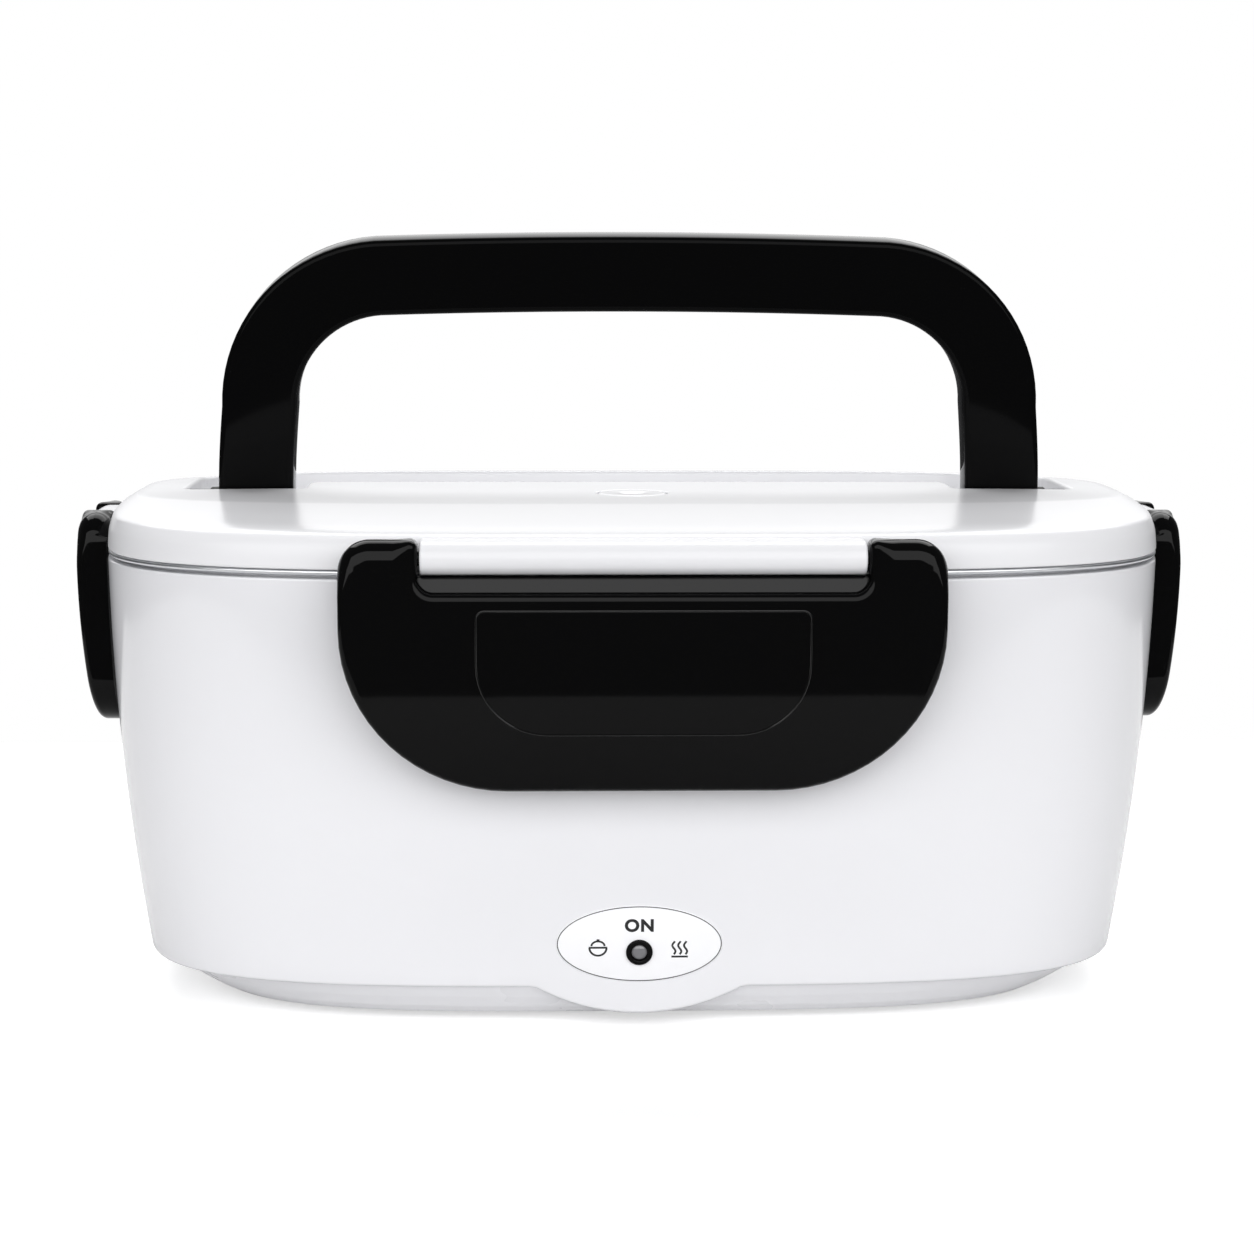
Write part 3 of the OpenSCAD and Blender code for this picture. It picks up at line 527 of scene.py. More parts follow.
def wire_finish(group: bpy.types.Node, tree: bpy.types.NodeTree, bump: float, depth: float) -> bpy.types.Node:
    """Feeds a group's colour, roughness and height to the material's shader.

    Args:
        group: the group node.
        tree: the material's tree.
        bump: strength of the bump.
        depth: distance of the bump, in metres.

    Returns:
        The shader node.
    """
    shader = tree.nodes["Principled BSDF"]
    height = tree.nodes.new("ShaderNodeBump")
    height.inputs["Strength"].default_value = bump
    height.inputs["Distance"].default_value = depth
    tree.links.new(group.outputs["Height"], height.inputs["Height"])
    tree.links.new(height.outputs["Normal"], shader.inputs["Normal"])
    tree.links.new(group.outputs["Roughness"], shader.inputs["Roughness"])
    tree.links.new(group.outputs["Colour"], shader.inputs["Base Color"])
    return shader


@dataclass(frozen=True)
class Moulded:
    """Moulded plastic or rubber. Depths are in metres, and scales are per metre."""

    name: str
    tint: tuple
    gloss: float = 0.2
    gloss_spread: float = 0.05
    tint_spread: float = 0.02
    wave_scale: float = 60.0
    speck_scale: float = 2500.0
    speck_share: float = 0.1
    bump: float = 0.06
    depth: float = 0.0003
    coat: float = 0.0
    coat_gloss: float = 0.05
    depth_glow: float = 0.0
    glow_radius: float = 0.002
    reflect: float = 0.5

    def build(self) -> bpy.types.Material:
        """Makes the material.

        Returns:
            The material, with its nodes wired.
        """
        material = bpy.data.materials.new(self.name)
        material.use_nodes = True
        tree = material.node_tree
        group = place_group(tree, Shade.moulding(), {
            "Wave Scale": self.wave_scale, "Speck Scale": self.speck_scale, "Speck Share": self.speck_share,
            "Gloss": self.gloss, "Gloss Spread": self.gloss_spread, "Tint": (*self.tint, 1.0),
            "Tint Spread": self.tint_spread})
        shader = wire_finish(group, tree, self.bump, self.depth)
        shader.inputs["Specular IOR Level"].default_value = self.reflect
        if self.coat > 0:
            shader.inputs["Coat Weight"].default_value = self.coat
            shader.inputs["Coat Roughness"].default_value = self.coat_gloss
        if self.depth_glow > 0:
            shader.inputs["Subsurface Weight"].default_value = self.depth_glow
            shader.inputs["Subsurface Radius"].default_value = (self.glow_radius,) * 3
            shader.inputs["Subsurface Scale"].default_value = 1.0
        material.diffuse_color = (*self.tint, 1.0)
        return material


@dataclass(frozen=True)
class Sheet:
    """Brushed or drawn sheet metal. Depths are in metres, and the stretch is per metre."""

    name: str
    tint: tuple
    gloss: float = 0.3
    gloss_spread: float = 0.2
    tint_spread: float = 0.12
    stretch: tuple = (20.0, 900.0, 900.0)
    bump: float = 0.05
    depth: float = 0.0001
    metal: float = 1.0

    def build(self) -> bpy.types.Material:
        """Makes the material.

        Returns:
            The material, with its nodes wired.
        """
        material = bpy.data.materials.new(self.name)
        material.use_nodes = True
        tree = material.node_tree
        group = place_group(tree, Shade.brushing(), {
            "Stretch": self.stretch, "Gloss": self.gloss, "Gloss Spread": self.gloss_spread,
            "Tint": (*self.tint, 1.0), "Tint Spread": self.tint_spread})
        shader = wire_finish(group, tree, self.bump, self.depth)
        shader.inputs["Metallic"].default_value = self.metal
        material.diffuse_color = (*self.tint, 1.0)
        return material


class Finish(Enum):
    """The finishes of the lunch box."""

    SHELL = Moulded("shell_gloss", (0.80, 0.80, 0.825), gloss=0.14, coat=0.25, bump=0.03)
    LID = Moulded("lid_gloss", (0.80, 0.80, 0.82), gloss=0.21, reflect=0.25, bump=0.02)
    BASE = Moulded("base_satin", (0.86, 0.86, 0.885), gloss=0.28, bump=0.04)
    BLACK = Moulded("black_gloss", (0.0026, 0.0026, 0.0027), gloss=0.06, gloss_spread=0.03, reflect=0.11, bump=0.012)
    # A copy of the black that reflects twice as strongly: painted reflection that makes the set-back bar between the
    # horns look lighter.
    BAR = Moulded("bar_painted_reflection", (0.0026, 0.0026, 0.0028), gloss=0.12, gloss_spread=0.04, reflect=0.21, bump=0.012)
    # A lighter, more reflective copy of the black: a painted highlight on rounded edges.
    EDGE = Moulded("black_painted_highlight", (0.004, 0.004, 0.004), gloss=0.16, gloss_spread=0.04, reflect=0.45, bump=0.01)
    HANDLE = Moulded("handle_gloss", (0.0024, 0.0024, 0.0025), gloss=0.08, gloss_spread=0.03, reflect=0.04,
                     bump=0.015)
    PANEL = Moulded("panel_film", (0.77, 0.77, 0.785), gloss=0.32, bump=0.05, wave_scale=200.0)
    INK = Moulded("panel_ink", (0.010, 0.010, 0.011), gloss=0.45, bump=0.02)
    # Dark grey for the ring of painted shade round the lamp panel's plate.
    GAP_SHADE = Moulded("panel_line", (0.07, 0.07, 0.075), gloss=0.5, bump=0.02)
    LENS = Moulded("lens_grey", (0.16, 0.16, 0.17), gloss=0.08, coat=0.8, bump=0.01)
    STEEL = Sheet("drawn_steel", (0.74, 0.75, 0.77), gloss=0.33, gloss_spread=0.16)
    PLATE = Sheet("cast_aluminium", (0.66, 0.67, 0.68), gloss=0.42, stretch=(300.0, 300.0, 300.0))
    ZINC = Sheet("zinc_plate", (0.50, 0.50, 0.52), gloss=0.3, stretch=(600.0, 600.0, 600.0))
    BRASS = Sheet("bright_brass", (0.72, 0.52, 0.20), gloss=0.18, stretch=(500.0, 500.0, 500.0))
    INSERT = Moulded("insert_milky", (0.66, 0.69, 0.68), gloss=0.30, depth_glow=0.3, bump=0.03)
    LINER = Moulded("liner_satin", (0.74, 0.74, 0.76), gloss=0.35, bump=0.04)
    SILICONE = Moulded("silicone_soft", (0.70, 0.69, 0.69), gloss=0.48, depth_glow=0.25, bump=0.05)
    VENT = Moulded("vent_white", (0.80, 0.80, 0.82), gloss=0.16, reflect=0.27, bump=0.02)
    RUBBER = Moulded("foot_rubber", (0.02, 0.02, 0.02), gloss=0.72, bump=0.2, speck_share=0.6)
    INLET = Moulded("inlet_black", (0.006, 0.006, 0.006), gloss=0.42, bump=0.25, speck_share=0.8)
    CERAMIC = Moulded("ceramic_matte", (0.75, 0.71, 0.62), gloss=0.8, bump=0.2)
    FIBRE = Moulded("fibre_felt", (0.62, 0.59, 0.50), gloss=0.95, bump=0.8, speck_share=1.0, speck_scale=900.0)
    CASE = Moulded("thermostat_case", (0.03, 0.02, 0.014), gloss=0.5, bump=0.1)
    SLEEVE = Moulded("fuse_sleeve", (0.58, 0.50, 0.42), gloss=0.85, bump=0.5, speck_share=1.0)
    LEAD = Moulded("lead_silicone", (0.32, 0.012, 0.010), gloss=0.45, bump=0.05)
    BOARD = Moulded("board_green", (0.008, 0.07, 0.025), gloss=0.3, bump=0.05)

    @property
    def material(self) -> bpy.types.Material:
        """The finish's material, made on its first use."""
        return bpy.data.materials.get(self.value.name) or self.value.build()


def dress(piece: bpy.types.Object, finish: Finish) -> bpy.types.Object:
    """Gives a piece one finish, in place of any material that it has.

    Args:
        piece: the object.
        finish: its finish.

    Returns:
        The piece.
    """
    piece.data.materials.clear()
    piece.data.materials.append(finish.material)
    return piece


# ---------------------------------------------------------------------------
# The body's outline
# ---------------------------------------------------------------------------


@dataclass
class Outline:
    """The rounded oval that the housing, tray and lid share, with the draft of the walls."""

    half_length: float = 113.3
    half_depth: float = 77.7
    squareness: float = 3.7
    draft: float = 7.8
    end_fall: float = 8.5
    seam: float = 96.9
    points: int = 416
    turns: np.ndarray = field(init=False)

    def __post_init__(self) -> None:
        """Finds the angles that space the points evenly round the seam."""
        fine = np.linspace(0, math.pi / 2, 20001)
        x = self.half_length * np.cos(fine) ** (2 / self.squareness)
        y = self.half_depth * np.sin(fine) ** (2 / self.squareness)
        run = np.concatenate([[0], np.cumsum(np.hypot(np.diff(x), np.diff(y)))])
        self.turns = np.interp(np.linspace(0, run[-1], self.points // 4 + 1), run, fine)

    def size(self, z: np.ndarray) -> tuple:
        """Half length and half depth of the wall at height z: bowed ends, drafted front and back.

        Args:
            z: height above the table.

        Returns:
            The two half sizes.
        """
        down = self.seam - np.minimum(z, self.seam)
        return (self.half_length - self.end_fall * (down / self.seam) ** 2,
                self.half_depth - math.tan(math.radians(self.draft)) * down)

    def oval(self, a: float, b: float) -> np.ndarray:
        """Closed outline with given half sizes.

        Args:
            a: half length along X.
            b: half depth along Y.

        Returns:
            The outline as an (n, 2) array, counter-clockwise from +X.
        """
        x = a * np.maximum(np.cos(self.turns), 0) ** (2 / self.squareness)
        y = b * np.sin(self.turns) ** (2 / self.squareness)
        x[-1] = 0.0
        first = np.stack([x, y], 1)
        back = first[::-1]
        return np.concatenate([first[:-1], (back * [-1, 1])[:-1], (first * [-1, -1])[:-1], (back * [1, -1])[:-1]])

    def ring(self, inset: float, z: float) -> np.ndarray:
        """Ring that lies a distance inside the drafted wall at height z.

        Args:
            inset: how far inside the wall it lies.
            z: its height.

        Returns:
            The ring, counter-clockwise.
        """
        a, b = self.size(z)
        flat = self.oval(a - inset, b - inset)
        return np.column_stack([flat, np.full(len(flat), z)])

    def level_ring(self, inset: float, z: float) -> np.ndarray:
        """Ring that lies a distance inside the widest outline, with no draft.

        Args:
            inset: how far inside it lies.
            z: its height.

        Returns:
            The ring, counter-clockwise.
        """
        flat = self.oval(self.half_length - inset, self.half_depth - inset)
        return np.column_stack([flat, np.full(len(flat), z)])

    def rings(self, profile: np.ndarray, tallest: float = 7.0) -> list:
        """Rings for each step of a profile, with rows between them where a wall is tall.

        Args:
            profile: (inset, height) pairs.
            tallest: the most height between two rings.

        Returns:
            The rings, in the profile's order.
        """
        found = [self.ring(*profile[0])]
        for (inset, z), (inset2, z2) in zip(profile, profile[1:]):
            rows = max(1, math.ceil(abs(z2 - z) / tallest))
            found += [self.ring(inset + (inset2 - inset) * k / rows, z + (z2 - z) * k / rows)
                      for k in range(1, rows + 1)]
        return found

    def wall_matrix(self, side: int, z: float, x: float = 0.0) -> Matrix:
        """Frame on the front (side -1) or back (side 1) wall whose local Z points out of the wall.

        Args:
            side: -1 for the front wall, 1 for the back wall.
            z: height of the frame's origin.
            x: place of the origin along X.

        Returns:
            The frame, in metres. Seen from outside, local X points right and local Y up.
        """
        lean = math.radians(self.draft)
        out = Vector((0, side * math.cos(lean), -math.sin(lean)))
        right = Vector((-side, 0, 0))
        up = out.cross(right)
        origin = Vector((x, side * self.size(z)[1], z)) * MM
        return Matrix.Translation(origin) @ Matrix((right, up, out)).transposed().to_4x4()


# ---------------------------------------------------------------------------
# Housing and base
# ---------------------------------------------------------------------------


@dataclass
class Housing:
    """White outer shell with its rim seat, skirts, inner floor and catch ledges."""

    outline: Outline
    edge: float = 9.2
    rim: float = 95.15
    seat: float = 95.9
    wall: float = 2.4
    groove: float = 3.0
    seat_width: float = 4.4
    floor: float = 25.0
    skirt_half: float = 21.5
    skirt_low: float = 3.3
    ledge_top: float = 90.0
    ledge_half: float = 34.1
    end_ledge_half: float = 12.5
    inlet: tuple = (9.7, 5.3, 15.6)

    def skirt_drop(self, x: np.ndarray) -> np.ndarray:
        """How far the lower edge drops below its plain height.

        Args:
            x: places along X.

        Returns:
            The drop at each place.
        """
        rise = self.edge - self.skirt_low
        radius = (self.skirt_half ** 2 + rise ** 2) / (2 * rise)
        low = self.skirt_low + radius - np.sqrt(np.maximum(radius ** 2 - x ** 2, 0))
        return np.where(np.abs(x) < self.skirt_half, np.maximum(self.edge - low, 0), 0)

    def shell(self) -> bpy.types.Object:
        """Builds the shell as one skin round its wall.

        Returns:
            The object, undressed.
        """
        w = self.wall
        profile = Flat.rounded([
            (w, self.edge, 0.4), (0, self.edge, 0.8), *[(0, z, 0) for z in np.linspace(13.0, 88.0, 14)],
            (0, self.rim, 0.45), (self.groove, self.rim, 0.2), (self.groove, self.seat, 0.15),
            (self.seat_width, self.seat, 0.3), (self.seat_width, self.rim - 5, 1.0), (w, self.rim - 8, 1.5),
            *[(w, z, 0) for z in np.linspace(80.0, 32.0, 8)],
            (w, self.floor, 4.0), (w + 40, self.floor, 0.4), (w + 40, self.floor - 2, 0.4),
            (w, self.floor - 2, 1.5)], steps=5)
        rings = []
        for inset, z in profile:
            if z < self.edge + 1.5:
                flat = self.outline.ring(inset, z)
                near = np.abs(flat[:, 1]) > self.outline.half_depth * 0.6
                heights = z - np.where(near, self.skirt_drop(flat[:, 0]), 0)
                a, b = self.outline.size(heights)
                share = flat[:, :2] / np.array([self.outline.size(z)[0] - inset, self.outline.size(z)[1] - inset])
                rings.append(np.column_stack([share * np.column_stack([a - inset, b - inset]), heights]))
            else:
                rings.append(self.outline.ring(inset, z))
        return MeshMaker.loft("housing_shell", rings, around=True)

    def inlet_cutter(self, half_width: float, half_height: float, z: float) -> bpy.types.Object:
        """Builds the body that cuts the opening of the power inlet.

        Args:
            half_width: half width of the opening.
            half_height: half height of the opening.
            z: height of its middle.

        Returns:
            The cutter, placed on the back wall.
        """
        corner = half_height - 0.1
        flat = Flat.rounded([(half_width, half_height, corner), (-half_width, half_height, corner),
                             (-half_width, -half_height, corner), (half_width, -half_height, corner)], steps=10)
        inside, outside = -14.0, 6.0
        rings = [np.column_stack([flat, np.full(len(flat), h)]) for h in (inside, outside)]
        cutter = MeshMaker.loft("inlet_cutter", rings, caps=True)
        cutter.matrix_world = self.outline.wall_matrix(1, z)
        return cutter

    def ledges(self) -> list:
        """Builds the four catch ledges behind the latches.

        Returns:
            The four ledges, undressed.
        """
        found = []
        a, b = self.outline.size(self.ledge_top)
        for name, turn, reach, half in (
                ("front", 0, b, self.ledge_half), ("right", 90, a, self.end_ledge_half),
                ("back", 180, b, self.ledge_half), ("left", 270, a, self.end_ledge_half)):
            flat = Flat.rounded([(1.2, 0, 0), (1.2, -2.0, 0), (-1.2, -2.0, 0.5), (-1.8, -0.6, 0.4), (-1.0, 0, 0.4)],
                                steps=3)
            flat = flat[::-1]
            rings = [np.column_stack([np.full(len(flat), x), flat[:, 0] - reach, flat[:, 1] + self.ledge_top])
                     for x in (-half, half)]
            piece = MeshMaker.loft(f"catch_ledge_{name}", rings, caps=True)
            piece.data.transform(Matrix.Rotation(math.radians(turn), 4, "Z"))
            found.append(piece)
        return found

    def build(self) -> None:
        """Builds and dresses the housing, in place of its CAD node."""
        shell = dress(self.shell(), Finish.SHELL)
        MeshMaker.carve(shell, self.inlet_cutter(*self.inlet))
        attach(shell, "housing")
        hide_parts("housing")
        for ledge in self.ledges():
            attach(dress(ledge, Finish.SHELL), "housing")


@dataclass
class Plinth:
    """Base cover: the stepped-in plinth under the housing."""

    outline: Outline
    low: float = 1.6
    edge: float = 9.2
    inset: float = 7.4
    end_inset: float = 2.0
    screws: tuple = (82.0, 27.0)
    feet: tuple = (66.0, 38.0)

    def build(self) -> None:
        """Builds and dresses the base cover, in place of its CAD node."""
        profile = Flat.rounded([
            (60, self.low, 0), (self.inset, self.low, 1.6), (5.2, 3.6, 6.0), (3.1, 6.2, 6.0), (1.1, self.edge, 0.1),
            (2.7, self.edge, 0.1), (2.7, self.edge + 3, 0.3), (4.3, self.edge + 3, 0.3), (4.3, self.edge, 1.0),
            (self.inset + 2, self.low + 2.4, 2.0), (60, self.low + 2.4, 0)], steps=6, closed=False)
        rings = []
        for inset, z in profile:
            a, b = self.outline.size(z)
            more = self.end_inset * (1 + 2 * (self.edge - z) / (self.edge - self.low)) if z <= self.edge else 0.0
            flat = self.outline.oval(a - inset - more, b - inset)
            rings.append(np.column_stack([flat, np.full(len(flat), z)]))
        skin = MeshMaker.loft("base_plinth", rings, caps=True)
        for x in (-1, 1):
            for y in (-1, 1):
                for (px, py), radius, top in ((self.screws, 3.1, 4.6), (self.feet, 6.2, 2.6)):
                    hole = MeshMaker.turned("hole", [(radius, 0), (radius, top)], steps=40)
                    hole.matrix_world = Matrix.Translation(Vector((x * px, y * py, 0)) * MM)
                    MeshMaker.carve(skin, hole)
        dress(skin, Finish.BASE)
        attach(skin, "housing")
        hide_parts("base_cover")


# ---------------------------------------------------------------------------
# Lamp panel
# ---------------------------------------------------------------------------


@dataclass
class LampPanel:
    """Oval plate with a thin dark ring of painted shade inside its edge, generic marks, and the lamp in its bezel."""

    outline: Outline
    half_width: float = 17.1
    half_height: float = 8.4
    height: float = 18.8
    lamp_height: float = 17.0
    proud: float = 0.2
    # Width and inset of the dark ring of painted shade round the plate.
    line: float = 0.22
    gap_shade_inset: float = 0.15
    pen: float = 0.42
    fine_pen: float = 0.4
    bowl_place: tuple = (-8.5, -0.9)
    steam_place: tuple = (8.3, -0.9)
    points: int = 160

    def ellipse(self, grow: float, level: float) -> np.ndarray:
        """Ring of the oval.

        Args:
            grow: how far it lies outside the plate's edge.
            level: its level above the wall.

        Returns:
            The ring, counter-clockwise.
        """
        t = np.arange(self.points) * 2 * math.pi / self.points
        return np.stack([(self.half_width + grow) * np.cos(t), (self.half_height + grow) * np.sin(t),
                         np.full(self.points, level)], 1)

    def plate(self) -> bpy.types.Object:
        """Builds the plate with its rounded rim.

        Returns:
            The object, undressed.
        """
        p = self.proud
        rings = [self.ellipse(g, h) for g, h in ((0, -0.4), (0, p - 0.12), (-0.04, p - 0.03), (-0.13, p))]
        return MeshMaker.loft("lamp_panel_plate", rings, caps=True)

    def rim_line(self) -> bpy.types.Object:
        """Builds the thin dark ring just inside the edge of the plate: painted shade that stands in for the gap round
        the plate.

        Returns:
            The object, undressed.
        """
        low, top = self.proud - 0.05, self.proud + 0.012
        outer, inner = -self.gap_shade_inset, -self.gap_shade_inset - self.line
        rings = [self.ellipse(g, h) for g, h in ((outer, low), (outer, top), (inner, top), (inner, low))]
        return MeshMaker.loft("lamp_panel_line", rings, around=True)

    def stroke(self, name: str, path: list, width: float, closed: bool = False) -> bpy.types.Object:
        """Builds a printed stroke of one width along a path on the plate.

        Args:
            name: the stroke's name.
            path: (x, y) points on the plate.
            width: width of the stroke.
            closed: True joins the end to the start.

        Returns:
            The stroke, lying on the plate.
        """
        points = np.array(path, float)
        if closed:
            ahead, behind = np.roll(points, -1, 0), np.roll(points, 1, 0)
        else:
            ahead, behind = np.concatenate([points[1:], points[-1:]]), np.concatenate([points[:1], points[:-1]])
        along = ahead - behind
        along /= np.hypot(along[:, 0], along[:, 1])[:, None]
        side = np.stack([-along[:, 1], along[:, 0]], 1) * width / 2
        top, low = self.proud + 0.015, self.proud - 0.05
        rows = [np.column_stack([points - side, np.full(len(points), top)]),
                np.column_stack([points + side, np.full(len(points), top)]),
                np.column_stack([points + side, np.full(len(points), low)]),
                np.column_stack([points - side, np.full(len(points), low)])]
        count = len(points)
        co = np.concatenate(rows)
        faces = []
        for k in range(4):
            for i in range(count if closed else count - 1):
                j = (i + 1) % count
                a, b = k * count, ((k + 1) % 4) * count
                faces.append([a + i, a + j, b + j, b + i])
        if not closed:
            faces.append([0, count, 2 * count, 3 * count])
            faces.append([4 * count - 1, 3 * count - 1, 2 * count - 1, count - 1])
        return MeshMaker.make(name, co, faces)

    def steam_mark(self, x: float, y: float) -> list:
        """Three rising waves, a common sign for heat.

        Args:
            x: the mark's middle, along the plate.
            y: the mark's middle, up the plate.

        Returns:
            The strokes.
        """
        marks = []
        for k, dx in enumerate((-1.2, 0.0, 1.2)):
            path = [(x + dx + 0.32 * math.sin(t * 2.2 * math.pi), y - 1.45 + 2.9 * t) for t in np.linspace(0, 1, 25)]
            marks.append(self.stroke(f"mark_wave_{k}", path, self.pen))
        marks.append(self.stroke("mark_wave_base", [(x - 1.7, y - 1.95), (x + 1.7, y - 1.95)], self.pen))
        return marks

    def bowl_mark(self, x: float, y: float) -> list:
        """A covered bowl, a common sign for food.

        Args:
            x: the mark's middle, along the plate.
            y: the mark's middle, up the plate.

        Returns:
            The strokes.
        """
        bowl = [(x + 1.75 * math.cos(t), y + 0.05 + 1.7 * math.sin(t)) for t in np.linspace(math.pi, 2 * math.pi, 25)]
        cover = [(x + 1.35 * math.cos(t), y + 0.45 + 1.05 * math.sin(t)) for t in np.linspace(math.pi, 0, 21)]
        rim, knob = [(x - 1.9, y + 0.1), (x + 1.9, y + 0.1)], [(x - 0.3, y + 1.75), (x + 0.3, y + 1.75)]
        return [self.stroke("mark_bowl", bowl, self.pen), self.stroke("mark_bowl_rim", rim, self.pen),
                self.stroke("mark_bowl_cover", cover, self.fine_pen), self.stroke("mark_bowl_knob", knob, self.pen)]

    def word(self) -> bpy.types.Object:
        """The plain word over the lamp, in a bold face.

        Returns:
            The object, undressed.
        """
        curve = bpy.data.curves.new("panel_word", "FONT")
        curve.body = "ON"
        curve.align_x = "CENTER"
        curve.align_y = "CENTER"
        curve.size = 3.65 * MM
        curve.offset = 0.15 * MM
        curve.extrude = 0.02 * MM
        curve.space_character = 1.12
        text = bpy.data.objects.new("panel_word_curve", curve)
        bpy.context.scene.collection.objects.link(text)
        bpy.context.view_layer.update()
        mesh = bpy.data.meshes.new_from_object(text.evaluated_get(bpy.context.evaluated_depsgraph_get()))
        bpy.data.objects.remove(text)
        mesh.transform(Matrix.Translation(Vector((0, 3.9, self.proud)) * MM))
        word = bpy.data.objects.new("panel_word", mesh)
        bpy.context.scene.collection.objects.link(word)
        return word

    def lamp(self) -> tuple:
        """Builds the bezel and the domed lens, in a frame at the lamp.

        Returns:
            The bezel and the lens, undressed.
        """
        bezel = MeshMaker.turned("lamp_bezel_ring", [
            (1.7, -2.0), (2.3, -2.0), (2.3, 0.1), (2.75, 0.2), (2.75, 0.52), (2.66, 0.72), (2.5, 0.82),
            (2.05, 0.82), (1.86, 0.72), (1.78, 0.5), (1.7, 0.3)], steps=96)
        dome = [(1.66 * math.cos(t), 0.05 + 0.78 * math.sin(t)) for t in np.linspace(0, math.pi / 2 - 0.05, 12)]
        lens = MeshMaker.turned("lamp_lens_dome", [(1.66, -2.0), *dome, (0.02, 0.83)], steps=96, sharp=60)
        return bezel, lens

    def build(self) -> None:
        """Builds and dresses the panel, its marks and the lamp."""
        here = self.outline.wall_matrix(-1, self.height)
        # The dark ring round the plate is painted shade for the gap at its edge.
        plate, line = dress(self.plate(), Finish.PANEL), dress(self.rim_line(), Finish.GAP_SHADE)
        marks = [self.word(), *self.bowl_mark(*self.bowl_place), *self.steam_mark(*self.steam_place)]
        for piece in (plate, line, *marks):
            piece.data.transform(here)
            if piece in marks:
                dress(piece, Finish.INK)
            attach(piece, "housing")
        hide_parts("indicator_panel")
        bezel, lens = self.lamp()
        for piece, finish, node, slot in ((bezel, Finish.BLACK, "lamp_bezel", "trim_black"),
                                          (lens, Finish.LENS, "lamp_lens", "lamp_grey")):
            piece.data.transform(self.outline.wall_matrix(-1, self.lamp_height))
            dress(piece, finish)
            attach(piece, "housing")
            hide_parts(node)


# ---------------------------------------------------------------------------
# Tray and insert
# ---------------------------------------------------------------------------


@dataclass
class SteelTray:
    """Drawn steel tray with a rolled edge and a step that carries the insert."""

    outline: Outline
    low: float = 26.5
    flange: float = 96.5
    sheet: float = 0.6
    wall: float = 5.3
    step: float = 2.5
    step_height: float = 90.5
    bead: float = 0.5

    def build(self) -> None:
        """Builds and dresses the tray, in place of its CAD node."""
        s, inner = self.sheet, self.wall + self.step
        outside = Flat.rounded([
            (60, self.low, 0), (inner, self.low, 9.0), (inner, self.step_height - s, 0.8),
            (self.wall, self.step_height - s, 0.8), (self.wall, self.flange - s, 0.7),
            (self.bead + 0.05, self.flange - s, 0)], steps=7, closed=False)
        roll = [(self.bead + 0.05 - self.bead * math.cos(t), self.flange - s + self.bead + self.bead * math.sin(t))
                for t in np.linspace(-math.pi / 2 + 0.3, math.radians(125), 10)]
        inside = Flat.rounded([
            (1.5, self.flange, 0), (self.wall + s, self.flange, 0.7), (self.wall + s, self.step_height, 0.5),
            (inner + s, self.step_height, 0.8), (inner + s, self.low + s, 8.4), (60, self.low + s, 0)],
            steps=7, closed=False)
        rings = self.outline.rings([*outside, *roll, *inside])
        tray = dress(MeshMaker.loft("steel_tray_skin", rings, caps=True), Finish.STEEL)
        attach(tray, "tray")
        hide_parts("steel_tray")


@dataclass
class FoodInsert:
    """Milky plastic box that hangs on the step at the right end of the tray."""

    outline: Outline
    straight: float = 34.0
    rim_height: float = 91.9
    low: float = 50.5
    skin: float = 1.4
    wall_inset: float = 9.05
    rim_inset: float = 6.55
    corner_power: int = 22
    points: int = 240

    def ring(self, inset: float, z: float, straight: float) -> np.ndarray:
        """Rounded D: the right part of the oval, closed by a straight wall.

        Args:
            inset: distance inside the drafted wall.
            z: height of the ring.
            straight: X of the straight wall.

        Returns:
            The ring, counter-clockwise.
        """
        a, b = (v - inset for v in self.outline.size(z))
        n, sharp = self.outline.squareness, self.corner_power
        middle = (a + straight) / 2
        t = np.arange(self.points) * 2 * math.pi / self.points
        way = np.stack([np.cos(t), np.sin(t)], 1)
        low, high = np.zeros(self.points), np.full(self.points, 200.0)
        for _ in range(46):
            r = (low + high) / 2
            x, y = middle + r * way[:, 0], r * way[:, 1]
            oval = (np.abs(x / a) ** n + np.abs(y / b) ** n) ** (1 / n)
            side = np.maximum((middle - x) / (middle - straight), 0)
            out = oval ** sharp + side ** sharp > 1
            high, low = np.where(out, r, high), np.where(out, low, r)
        return np.stack([middle + low * way[:, 0], low * way[:, 1], np.full(self.points, z)], 1)

    def build(self) -> None:
        """Builds and dresses the insert, in place of its CAD node."""
        outer, rim, s, low, top = self.wall_inset, self.rim_inset, self.skin, self.low, self.rim_height
        profile = Flat.rounded([
            (outer + 20, low, 0), (outer, low, 6.0), (outer, top - s, 0.6), (rim, top - s, 0.3), (rim, top, 0.5),
            (outer + s, top, 0.6), (outer + s, low + s, 5.0), (outer + 20, low + s, 0)], steps=7, closed=False)
        rings = [self.ring(inset, z, self.straight + inset - outer) for inset, z in profile]
        box = dress(MeshMaker.loft("food_insert_box", rings, caps=True), Finish.INSERT)
        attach(box, "insert")
        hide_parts("food_insert")


# ---------------------------------------------------------------------------
# Lid
# ---------------------------------------------------------------------------


